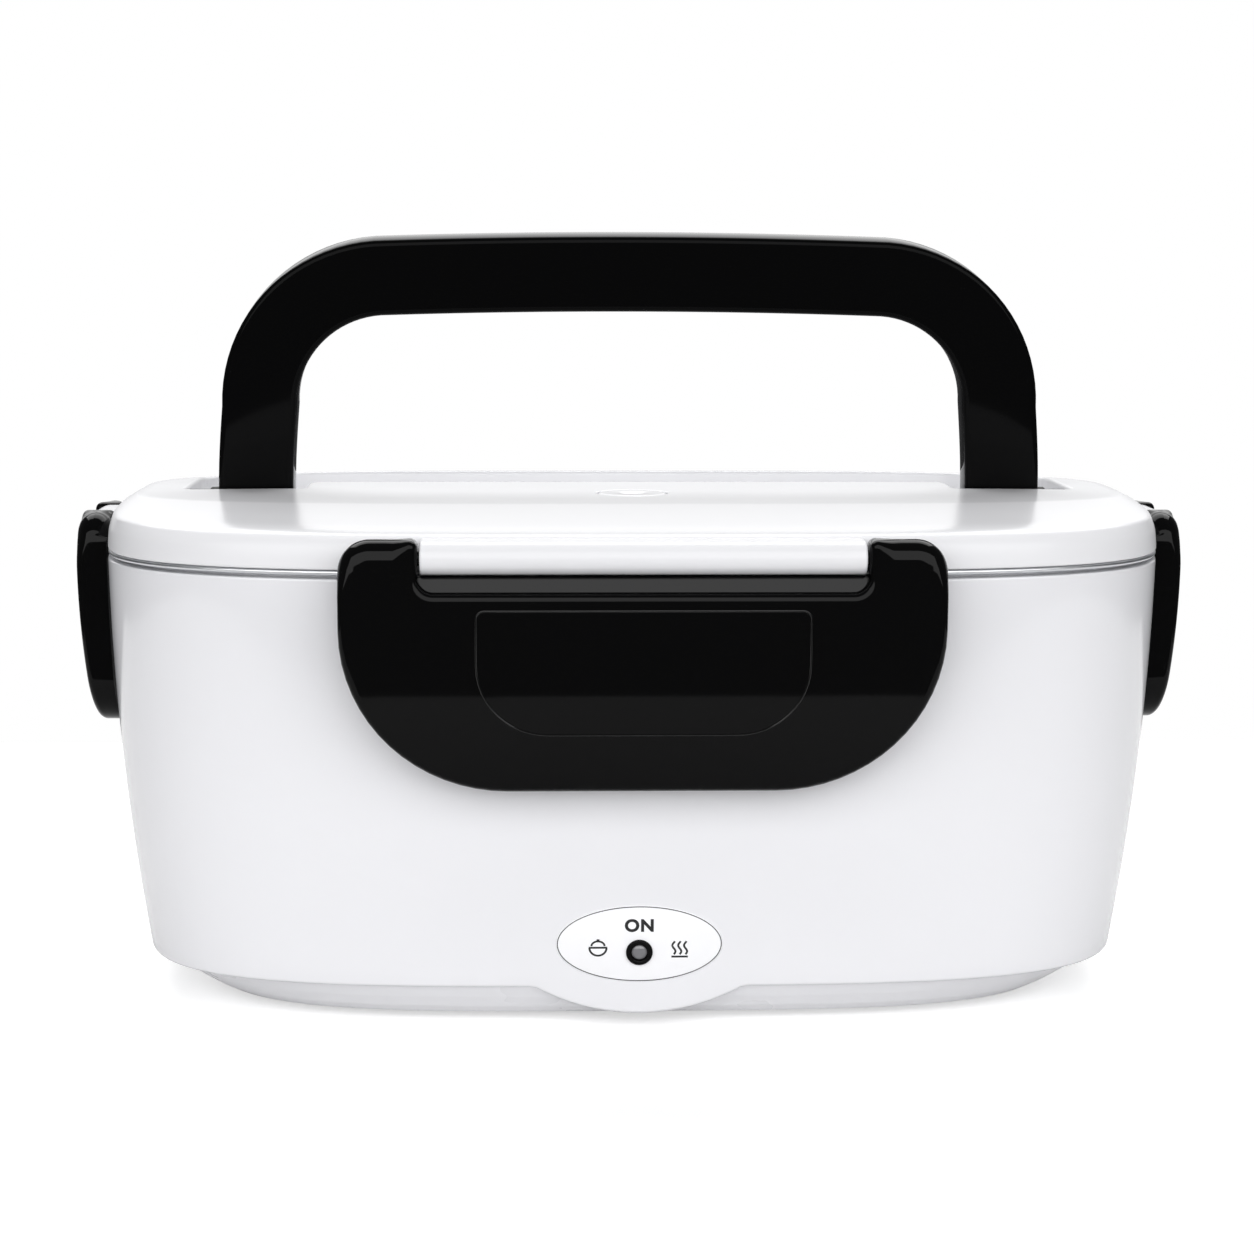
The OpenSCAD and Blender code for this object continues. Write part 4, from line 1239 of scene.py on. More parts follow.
@dataclass
class Lid:
    """Glossy lid with the handle recess, the latch lugs, the liner, the gasket and the vent plug."""

    outline: Outline
    low: float = 97.0
    top: float = 107.0
    recess_side: float = 99.5
    island_side: float = 72.8
    recess_front: float = -4.9
    recess_back: float = 62.6
    island_back: float = 12.0
    recess_floor: float = 98.2
    recess_corner: float = 36.5
    lip: float = 0.8
    vent: tuple = (-16.0, 7.9)
    steep_inset: float = 9.0
    top_step: float = 2.6
    under: float = 96.15
    rows: tuple = ((0.0, 0.0, 97.4), (0.12, 0.12, 99.5), (0.3, 0.3, 101.1), (0.7, 0.9, 102.6), (1.1, 2.3, 103.9),
                   (1.5, 5.7, 104.6), (2.1, 17.7, 105.4), (4.05, 37.2, 106.607), (4.2, 38.7, 106.7),
                   (7.15, 40.2, 106.72), (50.0, 62.0, 107.0), (113.2, 77.6, 107.0))
    shoulder_row: int = 5
    crease: float = 38.7
    crease_reach: float = 4.0
    centre_inset: float = 60.0
    clear: float = 0.7
    vent_gap: float = 0.4
    vent_depth: float = 1.2
    floor_lip: float = 0.9
    lug_radius: float = 3.3

    def crown(self, steps: int = 120) -> np.ndarray:
        """Smooth run of the crown from the side to the middle.

        Args:
            steps: number of places in the run, half of them on the shoulder.

        Returns:
            Rows of (inset along X, inset along Y, height).
        """
        rows = np.array(self.rows)
        run = np.concatenate([[0], np.cumsum(np.sqrt(np.maximum(
            np.diff(rows[:, 1]) ** 2 + np.diff(rows[:, 2]) ** 2, 1e-9)))])
        shoulder = run[self.shoulder_row]
        at = np.concatenate([np.linspace(0, shoulder, steps // 2, endpoint=False),
                             np.linspace(shoulder, run[-1], steps // 2)])
        return np.stack([Lid.smooth(run, rows[:, k], at) for k in range(3)], 1)

    @staticmethod
    def smooth(run: np.ndarray, values: np.ndarray, at: np.ndarray) -> np.ndarray:
        """Cubic interpolation that doesn't overshoot.

        Args:
            run: rising places of the values.
            values: the values.
            at: places to read.

        Returns:
            The values at those places.
        """
        h, d = np.diff(run), np.diff(values) / np.diff(run)
        slope = np.zeros(len(run))
        same = d[:-1] * d[1:] > 0
        w1, w2 = 2 * h[1:] + h[:-1], h[1:] + 2 * h[:-1]
        before, after = np.where(d[:-1] == 0, 1, d[:-1]), np.where(d[1:] == 0, 1, d[1:])
        slope[1:-1][same] = ((w1 + w2) / (w1 / before + w2 / after))[same]
        slope[0], slope[-1] = d[0], d[-1]
        k = np.clip(np.searchsorted(run, at) - 1, 0, len(h) - 1)
        t = (at - run[k]) / h[k]
        return (values[k] * (1 + 2 * t) * (1 - t) ** 2 + slope[k] * h[k] * t * (1 - t) ** 2
                + values[k + 1] * t ** 2 * (3 - 2 * t) + slope[k + 1] * h[k] * t ** 2 * (t - 1))

    def height(self, points: np.ndarray, crown: np.ndarray) -> np.ndarray:
        """Height of the crown over points of the plan.

        Args:
            points: an (m, 2) array.
            crown: the run from crown().

        Returns:
            An array of m heights.
        """
        a, b = self.outline.half_length - crown[:, 0], self.outline.half_depth - crown[:, 1]
        n = self.outline.squareness
        x, y = np.abs(points[:, 0]), np.abs(points[:, 1])
        low, high = np.zeros(len(points)), np.full(len(points), len(crown) - 1.0)
        index = np.arange(len(crown))
        for _ in range(34):
            mid = (low + high) / 2
            out = (x / np.interp(mid, index, a)) ** n + (y / np.interp(mid, index, b)) ** n > 1
            high, low = np.where(out, mid, high), np.where(out, low, mid)
        return np.interp(low, index, crown[:, 2])

    def recess(self, step: float = 2.2) -> np.ndarray:
        """Outline of the handle recess.

        Args:
            step: the longest side of the outline.

        Returns:
            The outline, counter-clockwise.
        """
        a, i = self.recess_side, self.island_side
        f, b, m, r = self.recess_front, self.recess_back, self.island_back, self.recess_corner
        flat = Flat.rounded([(a, b, r), (-a, b, r), (-a, f, 3), (-i, f, 1.6), (-i, m, 3), (i, m, 3), (i, f, 1.6),
                             (a, f, 3)], steps=10)
        return Flat.refined(flat, step)

    def shell(self) -> bpy.types.Object:
        """Builds the lid: lofted sides, a filled top, the recess with a rounded lip, and its underside.

        Returns:
            The object, undressed.
        """
        crown = self.crown()
        steep = int(np.searchsorted(crown[:, 1], self.steep_inset))
        sides = [np.column_stack([self.outline.oval(self.outline.half_length - dx, self.outline.half_depth - dy),
                                  np.full(self.outline.points, h)]) for dx, dy, h in crown[:steep + 1]]
        lip, floor_lip, gap = self.lip, self.floor_lip, self.vent_gap
        recess = self.recess()
        out = Flat.normals(recess)
        t = np.arange(64) * 2 * math.pi / 64
        circle = np.stack([np.cos(t), np.sin(t)], 1)
        vent_y, vent_r = self.vent
        vent = circle * (vent_r + gap) + [0, vent_y]
        edge = sides[-1][:, :2]
        hole = recess + out * lip
        inner, last = [np.zeros((1, 2))], self.steep_inset
        for dx, dy, _ in crown[steep + 1:-1]:
            near = abs(dy - self.crease) < self.crease_reach
            if dy - last > (0.45 if near else 1) * self.top_step:
                flat = self.outline.oval(self.outline.half_length - dx, self.outline.half_depth - dy)
                inner.append(flat[::1 if near else 4 if dy > self.centre_inset else 2])
                last = dy
        extra = np.concatenate(inner)
        keep = ~Flat.inside(extra, hole) & (Flat.distance(extra, hole) > self.clear)
        keep &= ~Flat.inside(extra, vent) & (Flat.distance(extra, vent) > self.clear)
        flat, faces = Flat.fill(edge, [hole, vent], extra[keep])
        z = self.height(flat, crown)
        z[:len(edge)] = sides[-1][:, 2]
        points = [np.column_stack([flat, z])]
        base = len(flat)
        first_hole, first_vent, n, m = len(edge), len(edge) + len(hole), len(hole), len(vent)

        def ring_down(first: int, count: int, rings: list) -> int:
            """Joins rings below an inner boundary.

            Args:
                first: number of the boundary's first point.
                count: points in the boundary.
                rings: the rings, from the top down.

            Returns:
                Number of the last ring's first point.
            """
            nonlocal base
            last = first
            for ring in rings:
                points.append(ring)
                for i in range(count):
                    j = (i + 1) % count
                    faces.append([last + j, last + i, base + i, base + j])
                last = base
                base += count
            return last

        edge_z = z[first_hole:first_vent]
        rings = []
        for angle in np.radians([72, 54, 36, 18, 0]):
            rings.append(np.column_stack([recess + out * (lip - lip * math.sin(math.pi / 2 - angle)),
                                          edge_z - lip * (1 - math.cos(math.pi / 2 - angle))]))
        for angle in np.radians([0, 30, 60, 90]):
            rings.append(np.column_stack([recess - out * floor_lip * (1 - math.cos(angle)),
                                          np.full(n, self.recess_floor + floor_lip * (1 - math.sin(angle)))]))
        last = ring_down(first_hole, n, rings)
        bottom = rings[-1][:, :2]
        spots = Flat.grid(bottom, [], 9.0)
        flat2, faces2 = Flat.fill(bottom, [], spots)
        points.append(np.column_stack([flat2[n:], np.full(len(flat2) - n, self.recess_floor)]))
        number = {i: (last + i if i < n else base + i - n) for i in range(len(flat2))}
        faces += [[number[v] for v in face] for face in faces2]
        base += len(flat2) - n
        vent_z = z[first_vent:first_vent + m]
        rings = [np.column_stack([circle * (vent_r + gap * (1 - math.sin(a))) + [0, vent_y],
                                  vent_z - gap * (1 - math.cos(a))]) for a in np.radians([30, 60, 90])]
        rings.append(np.column_stack([circle * vent_r + [0, vent_y], np.full(m, self.top - self.vent_depth)]))
        last = ring_down(first_vent, m, rings)
        faces.append([last + i for i in range(m)])
        # The side wall and the underside, from the crown's outer edge down and in.
        below = [(0.0, self.low + 0.35), (0.12, self.low + 0.12), (0.35, self.low), (2.0, self.low),
                 (2.1, self.low + 0.2), (2.2, self.low + 3.3), (9.0, self.low + 3.3), (9.2, self.under)]
        rings = [self.outline.level_ring(inset, height) for inset, height in below]
        last, count = 0, len(edge)
        for ring in [*sides[-2::-1], *rings]:
            points.append(ring)
            for i in range(count):
                j = (i + 1) % count
                faces.append([last + i, base + i, base + j, last + j])
            last = base
            base += count
        faces.append([last + i for i in range(count - 1, -1, -1)])
        return MeshMaker.make("lid_crown", np.concatenate(points), faces)

    def lug(self, name: str, turn: float, reach: float, half: float, z: float) -> bpy.types.Object:
        """Builds a lug: a barrel about the hinge axis with a web to the side of the lid.

        Args:
            name: the lug's name.
            turn: turn about Z in degrees, 0 for the front.
            reach: distance of the lid's side from the middle.
            half: half width of the lug.
            z: height of the hinge axis.

        Returns:
            The lug.
        """
        r, out = self.lug_radius, HINGE_OUT
        low = max(-r, self.low + 0.05 - z)
        arc = [(r * math.cos(t), r * math.sin(t)) for t in np.linspace(math.pi / 2, 1.5 * math.pi, 25)]
        corners = [(out + 1.2, r, 0), *[(y, h, 0) for y, h in arc]]
        if low > -r:
            corners += [(math.sqrt(r * r - low * low), low, 0)]
        corners += [(out + 1.2, low, 0)]
        flat = np.array([c[:2] for c in corners])
        middle = np.array([0.8, 0.0])
        rings = []
        for x, grow in ((-half, 0.86), (-half + 0.12, 0.95), (-half + 0.4, 1.0),
                        (half - 0.4, 1.0), (half - 0.12, 0.95), (half, 0.86)):
            shape = middle + (flat - middle) * [grow, grow]
            rings.append(np.column_stack([np.full(len(flat), x), shape[:, 0] - reach - out, shape[:, 1] + z]))
        piece = MeshMaker.loft(name, rings, caps=True, sharp=30)
        piece.data.transform(Matrix.Rotation(math.radians(turn), 4, "Z"))
        return piece

    def liner(self) -> bpy.types.Object:
        """Builds the inner skin of the lid.

        Returns:
            The object, undressed.
        """
        profile = Flat.rounded([
            (60, 94.7, 0), (7.2, 94.7, 1.0), (7.2, 99.0, 0.1), (2.8, 99.0, 0.3), (2.8, 100.2, 0.2), (8.6, 100.2, 0.3),
            (8.6, 96.1, 0.6), (60, 96.1, 0)], steps=5, closed=False)
        rings = [self.outline.level_ring(inset, z) for inset, z in profile]
        return MeshMaker.loft("lid_liner_skin", rings, caps=True)

    def gasket(self) -> bpy.types.Object:
        """Builds the silicone seal with two lips.

        Returns:
            The object, undressed.
        """
        profile = Flat.rounded([
            (7.1, 99.0, 0.1), (7.1, 97.6, 0.3), (6.2, 97.2, 0.2), (5.6, 96.5, 0.2), (4.9, 97.2, 0.2),
            (4.2, 97.2, 0.2), (3.5, 96.5, 0.2), (3.0, 97.4, 0.2), (3.0, 99.0, 0.1)], steps=4)
        rings = [self.outline.level_ring(inset, z) for inset, z in profile]
        return MeshMaker.loft("lid_gasket_ring", rings[::-1], around=True)

    def vent_cap(self) -> bpy.types.Object:
        """Builds the steam plug with its finger dish and hole.

        Returns:
            The object, undressed.
        """
        seat = self.top - self.vent_depth
        cap = MeshMaker.turned("vent_cap", [
            (0.8, seat - 5), (3.4, seat - 5), (3.8, seat - 4.6), (3.9, seat - 4.2), (3.9, seat), (7.3, seat),
            (7.5, seat + 0.15), (7.5, seat + 0.7), (7.36, seat + 1.0), (7.0, seat + 1.16), (6.6, seat + 1.2),
            (3.2, seat + 1.2), (2.6, seat + 1.1), (2.0, seat + 0.8), (0.9, seat + 0.7), (0.8, seat + 0.6)], steps=96)
        cap.data.transform(Matrix.Translation(Vector((0, self.vent[0], 0)) * MM))
        return cap

    def build(self) -> None:
        """Builds and dresses the lid's pieces, in place of their CAD nodes."""
        a, b = self.outline.half_length, self.outline.half_depth
        shell = dress(self.shell(), Finish.LID)
        pieces = [(shell, "lid_shell", "lid_white"), (dress(self.liner(), Finish.LINER), "lid_liner", "liner_white"),
                  (dress(self.gasket(), Finish.SILICONE), "lid_gasket", "gasket_silicone"),
                  (dress(self.vent_cap(), Finish.VENT), "vent_plug", "vent_silicone")]
        for name, turn, reach, half, z in (("lug_front", 0, b, 43.7, 100.2), ("lug_right", 90, a, 7.1, 98.85),
                                           ("lug_back", 180, b, 43.7, 99.0), ("lug_left", 270, a, 7.1, 98.85)):
            pieces.append((dress(self.lug(name, turn, reach, half, z), Finish.LID), None, "lid_white"))
        for piece, node, slot in pieces:
            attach(piece, "lid")
            if node:
                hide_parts(node)


# ---------------------------------------------------------------------------
# Handle
# ---------------------------------------------------------------------------


@dataclass
class CarryHandle:
    """Folding bail with a flat rounded section, its leg ends rounded about the pivots."""

    pivot: tuple = (1.0, 103.2)
    side: float = 92.0
    width: float = 16.6
    thick: float = 9.4
    bevel: float = 1.4
    corner: float = 37.0
    reach: float = 60.6
    arch: float = 0.9
    draw_in: float = 1.4
    leg_turn: float = 7.0
    thin: float = 0.25
    lean: float = 8.0
    recess_side: float = 99.5

    def section(self, half: float) -> np.ndarray:
        """Section of the bail: (across, through) points, for a half thickness."""
        w, r = self.width / 2, min(self.bevel, half * 0.98)
        return Flat.rounded([(w, -half, r), (w, half, r), (-w, half, r), (-w, -half, r)], steps=6)

    def path(self) -> list:
        """Centre line of the bail as (x, height, direction in degrees, half thickness).

        Returns:
            The points, from one leg over to the other.
        """
        mid, half = self.side - self.width / 2, self.thick / 2
        radius = self.corner - self.width / 2
        cross = self.reach - self.width / 2 - self.arch
        bend = mid - self.draw_in - radius
        up = [(mid, -half * math.sin(t), 90.0, max(half * math.cos(t), self.thin))
              for t in np.radians([86, 72, 56, 38, 20])]
        up += [(mid - self.draw_in * (1 - math.cos(k * math.pi / 2)), (cross - radius) * k,
                90.0 + self.leg_turn * k * (1 - k), half) for k in np.linspace(0, 1, 8)[:-1]]
        up += [(bend + radius * math.cos(t), cross - radius + radius * math.sin(t), 90 + math.degrees(t), half)
               for t in np.linspace(0, math.pi / 2, 22)]
        up += [(bend * k, cross + self.arch * (1 - k * k), 180.0, half)
               for k in np.linspace(1, 0, 12)[1:]]
        down = [(-x, h, 360 - d, t) for x, h, d, t in up[-2::-1]]
        return up + down

    def bail(self) -> bpy.types.Object:
        """Builds the bail standing upright on its pivots at the origin.

        Returns:
            The object, undressed.
        """
        rings = []
        for x, h, direction, half in self.path():
            flat, t = self.section(half), math.radians(direction)
            rings.append(np.stack([x + flat[:, 0] * math.sin(t), flat[:, 1], h - flat[:, 0] * math.cos(t)], 1))
        return MeshMaker.loft("handle_bail", rings, caps=True, sharp=50)

    def hub(self, side: int) -> bpy.types.Object:
        """Builds the hub between a leg and the wall of the recess, with its pivot pin.

        Args:
            side: 1 for the right hub, -1 for the left.

        Returns:
            The object, undressed.
        """
        inner, outer = self.side - 0.6, self.recess_side - 0.3
        hub = MeshMaker.turned(f"handle_hub_{'right' if side > 0 else 'left'}", [
            (3.6, inner - 2), (3.6, inner + 2.4), (3.45, inner + 2.7), (3.1, inner + 2.9), (3.1, outer - 0.3),
            (2.8, outer), (2.4, outer), (2.4, outer + 3.1), (2.1, outer + 3.3)], steps=64)
        hub.data.transform(Matrix.Rotation(math.radians(90 * side), 4, "Y"))
        return hub

    def build(self) -> None:
        """Builds and dresses the handle, in place of its CAD node."""
        bail = self.bail()
        place = Matrix.Translation(Vector((0, self.pivot[0], self.pivot[1])) * MM) @ \
            Matrix.Rotation(math.radians(self.lean), 4, "X")
        for piece in (bail, self.hub(1), self.hub(-1)):
            piece.data.transform(place)
            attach(dress(piece, Finish.HANDLE), "handle")
        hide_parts("carry_handle")


# ---------------------------------------------------------------------------
# Latches
# ---------------------------------------------------------------------------


class LatchSide(Enum):
    """Where a latch sits: node, body, turn about Z in degrees, and height of its hinge axis."""

    FRONT = ("latch_front", "front_clip", 0, 100.2)
    RIGHT = ("latch_right", "right_clip", 90, 98.85)
    BACK = ("latch_back", "back_clip", 180, 99.0)
    LEFT = ("latch_left", "left_clip", 270, 98.85)


@dataclass
class Latch:
    """Moulded clip latch: two horns about the hinge axis, a bowed face and a hollow, ribbed back.

    Local frame: origin on the hinge axis, X along it, -Y outwards, Z up.
    """

    side: LatchSide
    outline: Outline
    half: float = 59.7
    drop: float = 47.2
    horn: float = 15.6
    corner: float = 33.0
    horn_radius: float = 3.7
    face_top: float = -6.6
    bow: float = 140.0
    bow_start: float = 6.0
    fillet: float = 1.5
    skin: float = 2.2
    hook_level: float = 87.4
    # Facing range and height below which the rounded edge gets the painted highlight.
    highlight_turn: tuple = (-0.92, -0.12)
    highlight_top: float = -5.5
    pad_lift: float = 0.12
    pad: bool = True
    hook_half: float = 30.1
    rib_places: tuple = (-40.0, -20.0, 0.0, 20.0, 40.0)

    @property
    def inner(self) -> float:
        """Half width of the notch between the horns."""
        return self.half - self.horn

    def face(self, z: np.ndarray) -> np.ndarray:
        """Place of the front face along Y at height z, before its edges are rounded."""
        return -self.horn_radius + np.maximum(0, -z - self.bow_start) ** 2 / (2 * self.bow)

    def back(self, z: np.ndarray) -> np.ndarray:
        """Place of the back face along Y at height z, which follows the wall behind it.

        Args:
            z: heights from the hinge axis.

        Returns:
            The place at each height.
        """
        if self.side in (LatchSide.LEFT, LatchSide.RIGHT):
            down = np.maximum(0, self.outline.seam - self.side.value[3] - z)
            return self.horn_radius + self.outline.end_fall * (down / self.outline.seam) ** 2
        return self.horn_radius + math.tan(math.radians(self.outline.draft)) * np.maximum(0, -z - self.horn_radius)

    def rim_line(self) -> np.ndarray:
        """Outline of the face with the notch between the horns, counter-clockwise seen from the front.

        Returns:
            The outline as an (n, 2) array.
        """
        a, i, top, low = self.half, self.inner, self.horn_radius, -self.drop
        flat = Flat.rounded([
            (-a, low, self.corner), (a, low, self.corner), (a, top, 6.4), (i, top, 1.6), (i, self.face_top, 3.0),
            (-i, self.face_top, 3.0), (-i, top, 1.6), (-a, top, 6.4)], steps=16)
        return Flat.refined(flat, 1.6)

    def rounding(self, outline: np.ndarray) -> np.ndarray:
        """Radius of the rounded edge at each point: the full horn radius over the horns' tops.

        Args:
            outline: the outline of the face.

        Returns:
            The radius at each of its points.
        """
        x, z = np.abs(outline[:, 0]), outline[:, 1]
        up = np.clip((z + 8.0) / 8.0, 0, 1)
        away = np.clip((x - self.inner - 1.7) / 3.0, 0, 1)
        share = (up * up * (3 - 2 * up)) * (away * away * (3 - 2 * away))
        return self.fillet + (self.horn_radius - self.fillet) * share

    def plate(self) -> bpy.types.Object:
        """Builds the latch's body: rounded rim, bowed face, and a back with a hollow.

        Returns:
            The object, undressed.
        """
        outline = self.rim_line()
        out, round_front = Flat.normals(outline), self.rounding(outline)
        round_back = np.minimum(round_front, np.where(outline[:, 1] > -1, self.horn_radius, 0.8))
        count = len(outline)
        angles = np.radians(np.linspace(0, 90, 8))

        def rim(angle: float, radius: np.ndarray, front: bool) -> np.ndarray:
            """Ring of the rounded edge at an angle from the side.

            Args:
                angle: place on the rounding, in radians.
                radius: radius of the rounding at each point.
                front: whether it is the edge of the face, not of the back.

            Returns:
                The ring.
            """
            flat = outline - out * (radius * (1 - math.cos(angle)))[:, None]
            depth = radius * (1 - math.sin(angle))
            y = self.face(flat[:, 1]) + depth if front else self.back(flat[:, 1]) - depth
            return np.stack([flat[:, 0], y, flat[:, 1]], 1)

        rings = [rim(t, round_back, False) for t in angles[::-1]] + [rim(t, round_front, True) for t in angles]
        points, faces = list(rings), MeshMaker.ring_faces(count, len(rings))
        faces = [face[::-1] for face in faces]
        base = count * len(rings)
        front = rings[-1][:, [0, 2]]
        flat, fill = Flat.fill(front, [], Flat.grid(front, [], 3.0))
        points.append(np.stack([flat[count:, 0], self.face(flat[count:, 1]), flat[count:, 1]], 1))
        first = count * (len(rings) - 1)
        number = [first + i if i < count else base + i - count for i in range(len(flat))]
        faces += [[number[v] for v in face] for face in fill]
        base += len(flat) - count
        base = self.hollow(points, faces, rings[0][:, [0, 2]], base)
        return MeshMaker.welded(MeshMaker.make(f"{self.side.value[0]}_body", np.concatenate(points), faces, sharp=42))

    def hollow(self, points: list, faces: list, back: np.ndarray, base: int) -> int:
        """Adds the back face with its hollow.

        Args:
            points: the latch's arrays of points so far; the first ring is the back's rim.
            faces: its faces so far.
            back: the back rim as (x, z).
            base: number of points so far.

        Returns:
            The new number of points.
        """
        s, count = self.skin, len(back)
        a, low, top = self.half - s, -self.drop + s, -9.2
        hole = Flat.refined(Flat.rounded([
            (-a, low, self.corner - s), (a, low, self.corner - s), (a, top, 2.0), (-a, top, 2.0)], steps=12), 2.4)
        flat, fill = Flat.fill(back, [hole], Flat.grid(back, [hole], 4.0))
        points.append(np.stack([flat[count:, 0], self.back(flat[count:, 1]), flat[count:, 1]], 1))
        number = [i if i < count else base + i - count for i in range(len(flat))]
        faces += [[number[v] for v in face[::-1]] for face in fill]
        first, n = base, len(hole)
        base += len(flat) - count
        out = Flat.normals(hole)
        last = first
        for inset, lift in ((0.0, 0.9), (0.25, 0.27), (0.9, 0.0)):
            inner = hole - out * inset
            points.append(np.stack([inner[:, 0], self.face(inner[:, 1]) + s + lift, inner[:, 1]], 1))
            for i in range(n):
                j = (i + 1) % n
                faces.append([last + i, last + j, base + j, base + i])
            last, base = base, base + n
        inner = hole - out * 0.9
        flat, fill = Flat.fill(inner, [], Flat.grid(inner, [], 4.0))
        points.append(np.stack([flat[n:, 0], self.face(flat[n:, 1]) + s, flat[n:, 1]], 1))
        number = [last + i if i < n else base + i - n for i in range(len(flat))]
        faces += [[number[v] for v in face[::-1]] for face in fill]
        return base + len(flat) - n

    def bar(self) -> bpy.types.Object:
        """Builds the bar between the horns, set back behind the face and leaning inwards.

        Returns:
            The object, undressed.
        """
        flat = Flat.rounded([(4.1, -10.0, 0.0), (3.7, -3.6, 0.5), (-0.2, -3.6, 0.5), (-1.5, self.face_top - 0.2, 0.6),
                             (-1.9, -10.0, 0.0)], steps=5)
        half = self.inner + 0.5
        rings = [np.column_stack([np.full(len(flat), x), flat]) for x in (-half, half)]
        return MeshMaker.loft("bar", rings, caps=True)

    def ribs(self) -> list:
        """Builds the ribs and the hook bar in the hollow back.

        Returns:
            The ribs, then the hook bar.
        """
        hook = self.hook_level - self.side.value[3]
        found = []
        for k, x in enumerate(self.rib_places):
            low = -self.drop + self.skin + (6.0 if abs(x) > 30 else 0.4)
            z = np.linspace(hook - 2.0, low, 12)
            front, back = self.face(z) + self.skin - 0.2, self.back(z) - 0.15
            side = np.concatenate([np.stack([front, z], 1), np.stack([back, z], 1)[::-1]])
            rings = [np.column_stack([np.full(len(side), x + dx), side]) for dx in (-0.6, 0.6)]
            found.append(MeshMaker.loft(f"rib_{k}", rings, caps=True))
        half = self.hook_half
        front, back = float(self.face(np.array(hook))) + self.skin - 0.2, float(self.back(np.array(hook - 1)))
        flat = Flat.rounded([(front, hook - 2.2, 0), (back, hook - 2.2, 0.5), (back, hook, 0.4), (front, hook, 0)],
                            steps=4)
        rings = [np.column_stack([np.full(len(flat), x), flat]) for x in (-half, half)]
        found.append(MeshMaker.loft("hook", rings, caps=True))
        return found

    @staticmethod
    def pad_line() -> np.ndarray:
        """Outline of the bare D-shaped pad, counter-clockwise."""
        corners = [(-32.7, -35.0, 14.0), (32.7, -35.0, 14.0), (32.7, -10.1, 1.6), (-32.7, -10.1, 1.6)]
        return Flat.refined(Flat.rounded(corners, steps=12), 1.6)

    def pad_plate(self) -> bpy.types.Object:
        """Builds the bare D-shaped pad that stands a little proud of the face.

        Returns:
            The object, undressed.
        """
        outline = self.pad_line()
        out, count = Flat.normals(outline), len(outline)
        rings = []
        for inset, lift in ((0.0, 0.3), (0.0, -0.02), (0.05, -0.09), (0.17, -self.pad_lift)):
            flat = outline - out * inset
            rings.append(np.stack([flat[:, 0], self.face(flat[:, 1]) + lift, flat[:, 1]], 1))
        faces = [face[::-1] for face in MeshMaker.ring_faces(count, 4)]
        front = rings[-1][:, [0, 2]]
        flat, fill = Flat.fill(front, [], Flat.grid(front, [], 3.0))
        extra = np.stack([flat[count:, 0], self.face(flat[count:, 1]) - self.pad_lift, flat[count:, 1]], 1)
        number = [3 * count + i if i < count else 4 * count + i - count for i in range(len(flat))]
        faces += [[number[v] for v in face] for face in fill]
        faces.append(list(range(count)))
        return MeshMaker.make("pad", np.concatenate([*rings, extra]), faces, sharp=50)

    def pad_bead(self) -> bpy.types.Object:
        """Builds the fine bead round the pad, which takes the painted-highlight copy of the black.

        Returns:
            The object, undressed.
        """
        outline = self.pad_line()
        out, rings = Flat.normals(outline), []
        for across, lift in ((0.02, 0.2), (0.02, -0.14), (0.1, -0.24), (0.22, -0.28), (0.34, -0.24),
                             (0.42, -0.12), (0.42, 0.2)):
            flat = outline + out * (across - 0.12)
            rings.append(np.stack([flat[:, 0], self.face(flat[:, 1]) + lift, flat[:, 1]], 1))
        return MeshMaker.loft("pad_bead", rings[::-1], around=True)

    def paint_edge_highlight(self, piece: bpy.types.Object, turn: Matrix) -> None:
        """Paints a highlight on the rounded front edge below the horns: its faces that turn partly outwards get a
        lighter, more reflective copy of the black.

        Args:
            piece: the latch's body, in its place and dressed.
            turn: its place.
        """
        piece.data.materials.append(Finish.EDGE.material)
        back = turn.inverted()
        most, least = self.highlight_turn
        for face in piece.data.polygons:
            across = (back.to_3x3() @ face.normal).y
            if most < across < least and (back @ face.center).z < self.highlight_top * MM:
                face.material_index = 1

    def pins(self) -> list:
        """Builds the two hinge pins that enter the lug.

        Returns:
            The two pins, undressed.
        """
        found = []
        for side in (-1, 1):
            pin = MeshMaker.turned("pin", [(1.5, 0), (1.5, 3.9), (1.2, 4.2)], steps=40)
            pin.data.transform(Matrix.Rotation(math.radians(-90 * side), 4, "Y"))
            pin.data.transform(Matrix.Translation(Vector((side * (self.inner + 1), 0, 0)) * MM))
            found.append(pin)
        return found

    def build(self) -> None:
        """Builds and dresses the latch, in place of its CAD node."""
        node, body, turn, height = self.side.value
        reach = (self.outline.half_depth if turn % 180 == 0 else self.outline.half_length) + HINGE_OUT
        place = Matrix.Rotation(math.radians(turn), 4, "Z") @ Matrix.Translation(Vector((0, -reach, height)) * MM)
        body_piece = self.plate()
        extras = [self.bar(), *self.ribs(), *self.pins()]
        if self.pad:
            extras += [self.pad_plate(), self.pad_bead()]
        for piece in extras:
            piece.name = f"{node}_{piece.name.split('.')[0]}"
        for piece in (body_piece, *extras):
            piece.data.transform(place)
            # The bar between the horns takes the more reflective copy of the black, a painted reflection.
            # The bead round the pad takes the lighter, more reflective copy of the black, a painted highlight.
            finish = Finish.BAR if piece is extras[0] else Finish.EDGE if "bead" in piece.name else Finish.BLACK
            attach(dress(piece, finish), body)
        # Painted highlight on the rounded front edge below the horns.
        self.paint_edge_highlight(body_piece, place)
        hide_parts(node)


# ---------------------------------------------------------------------------
# Pieces that keep their CAD shape
# ---------------------------------------------------------------------------


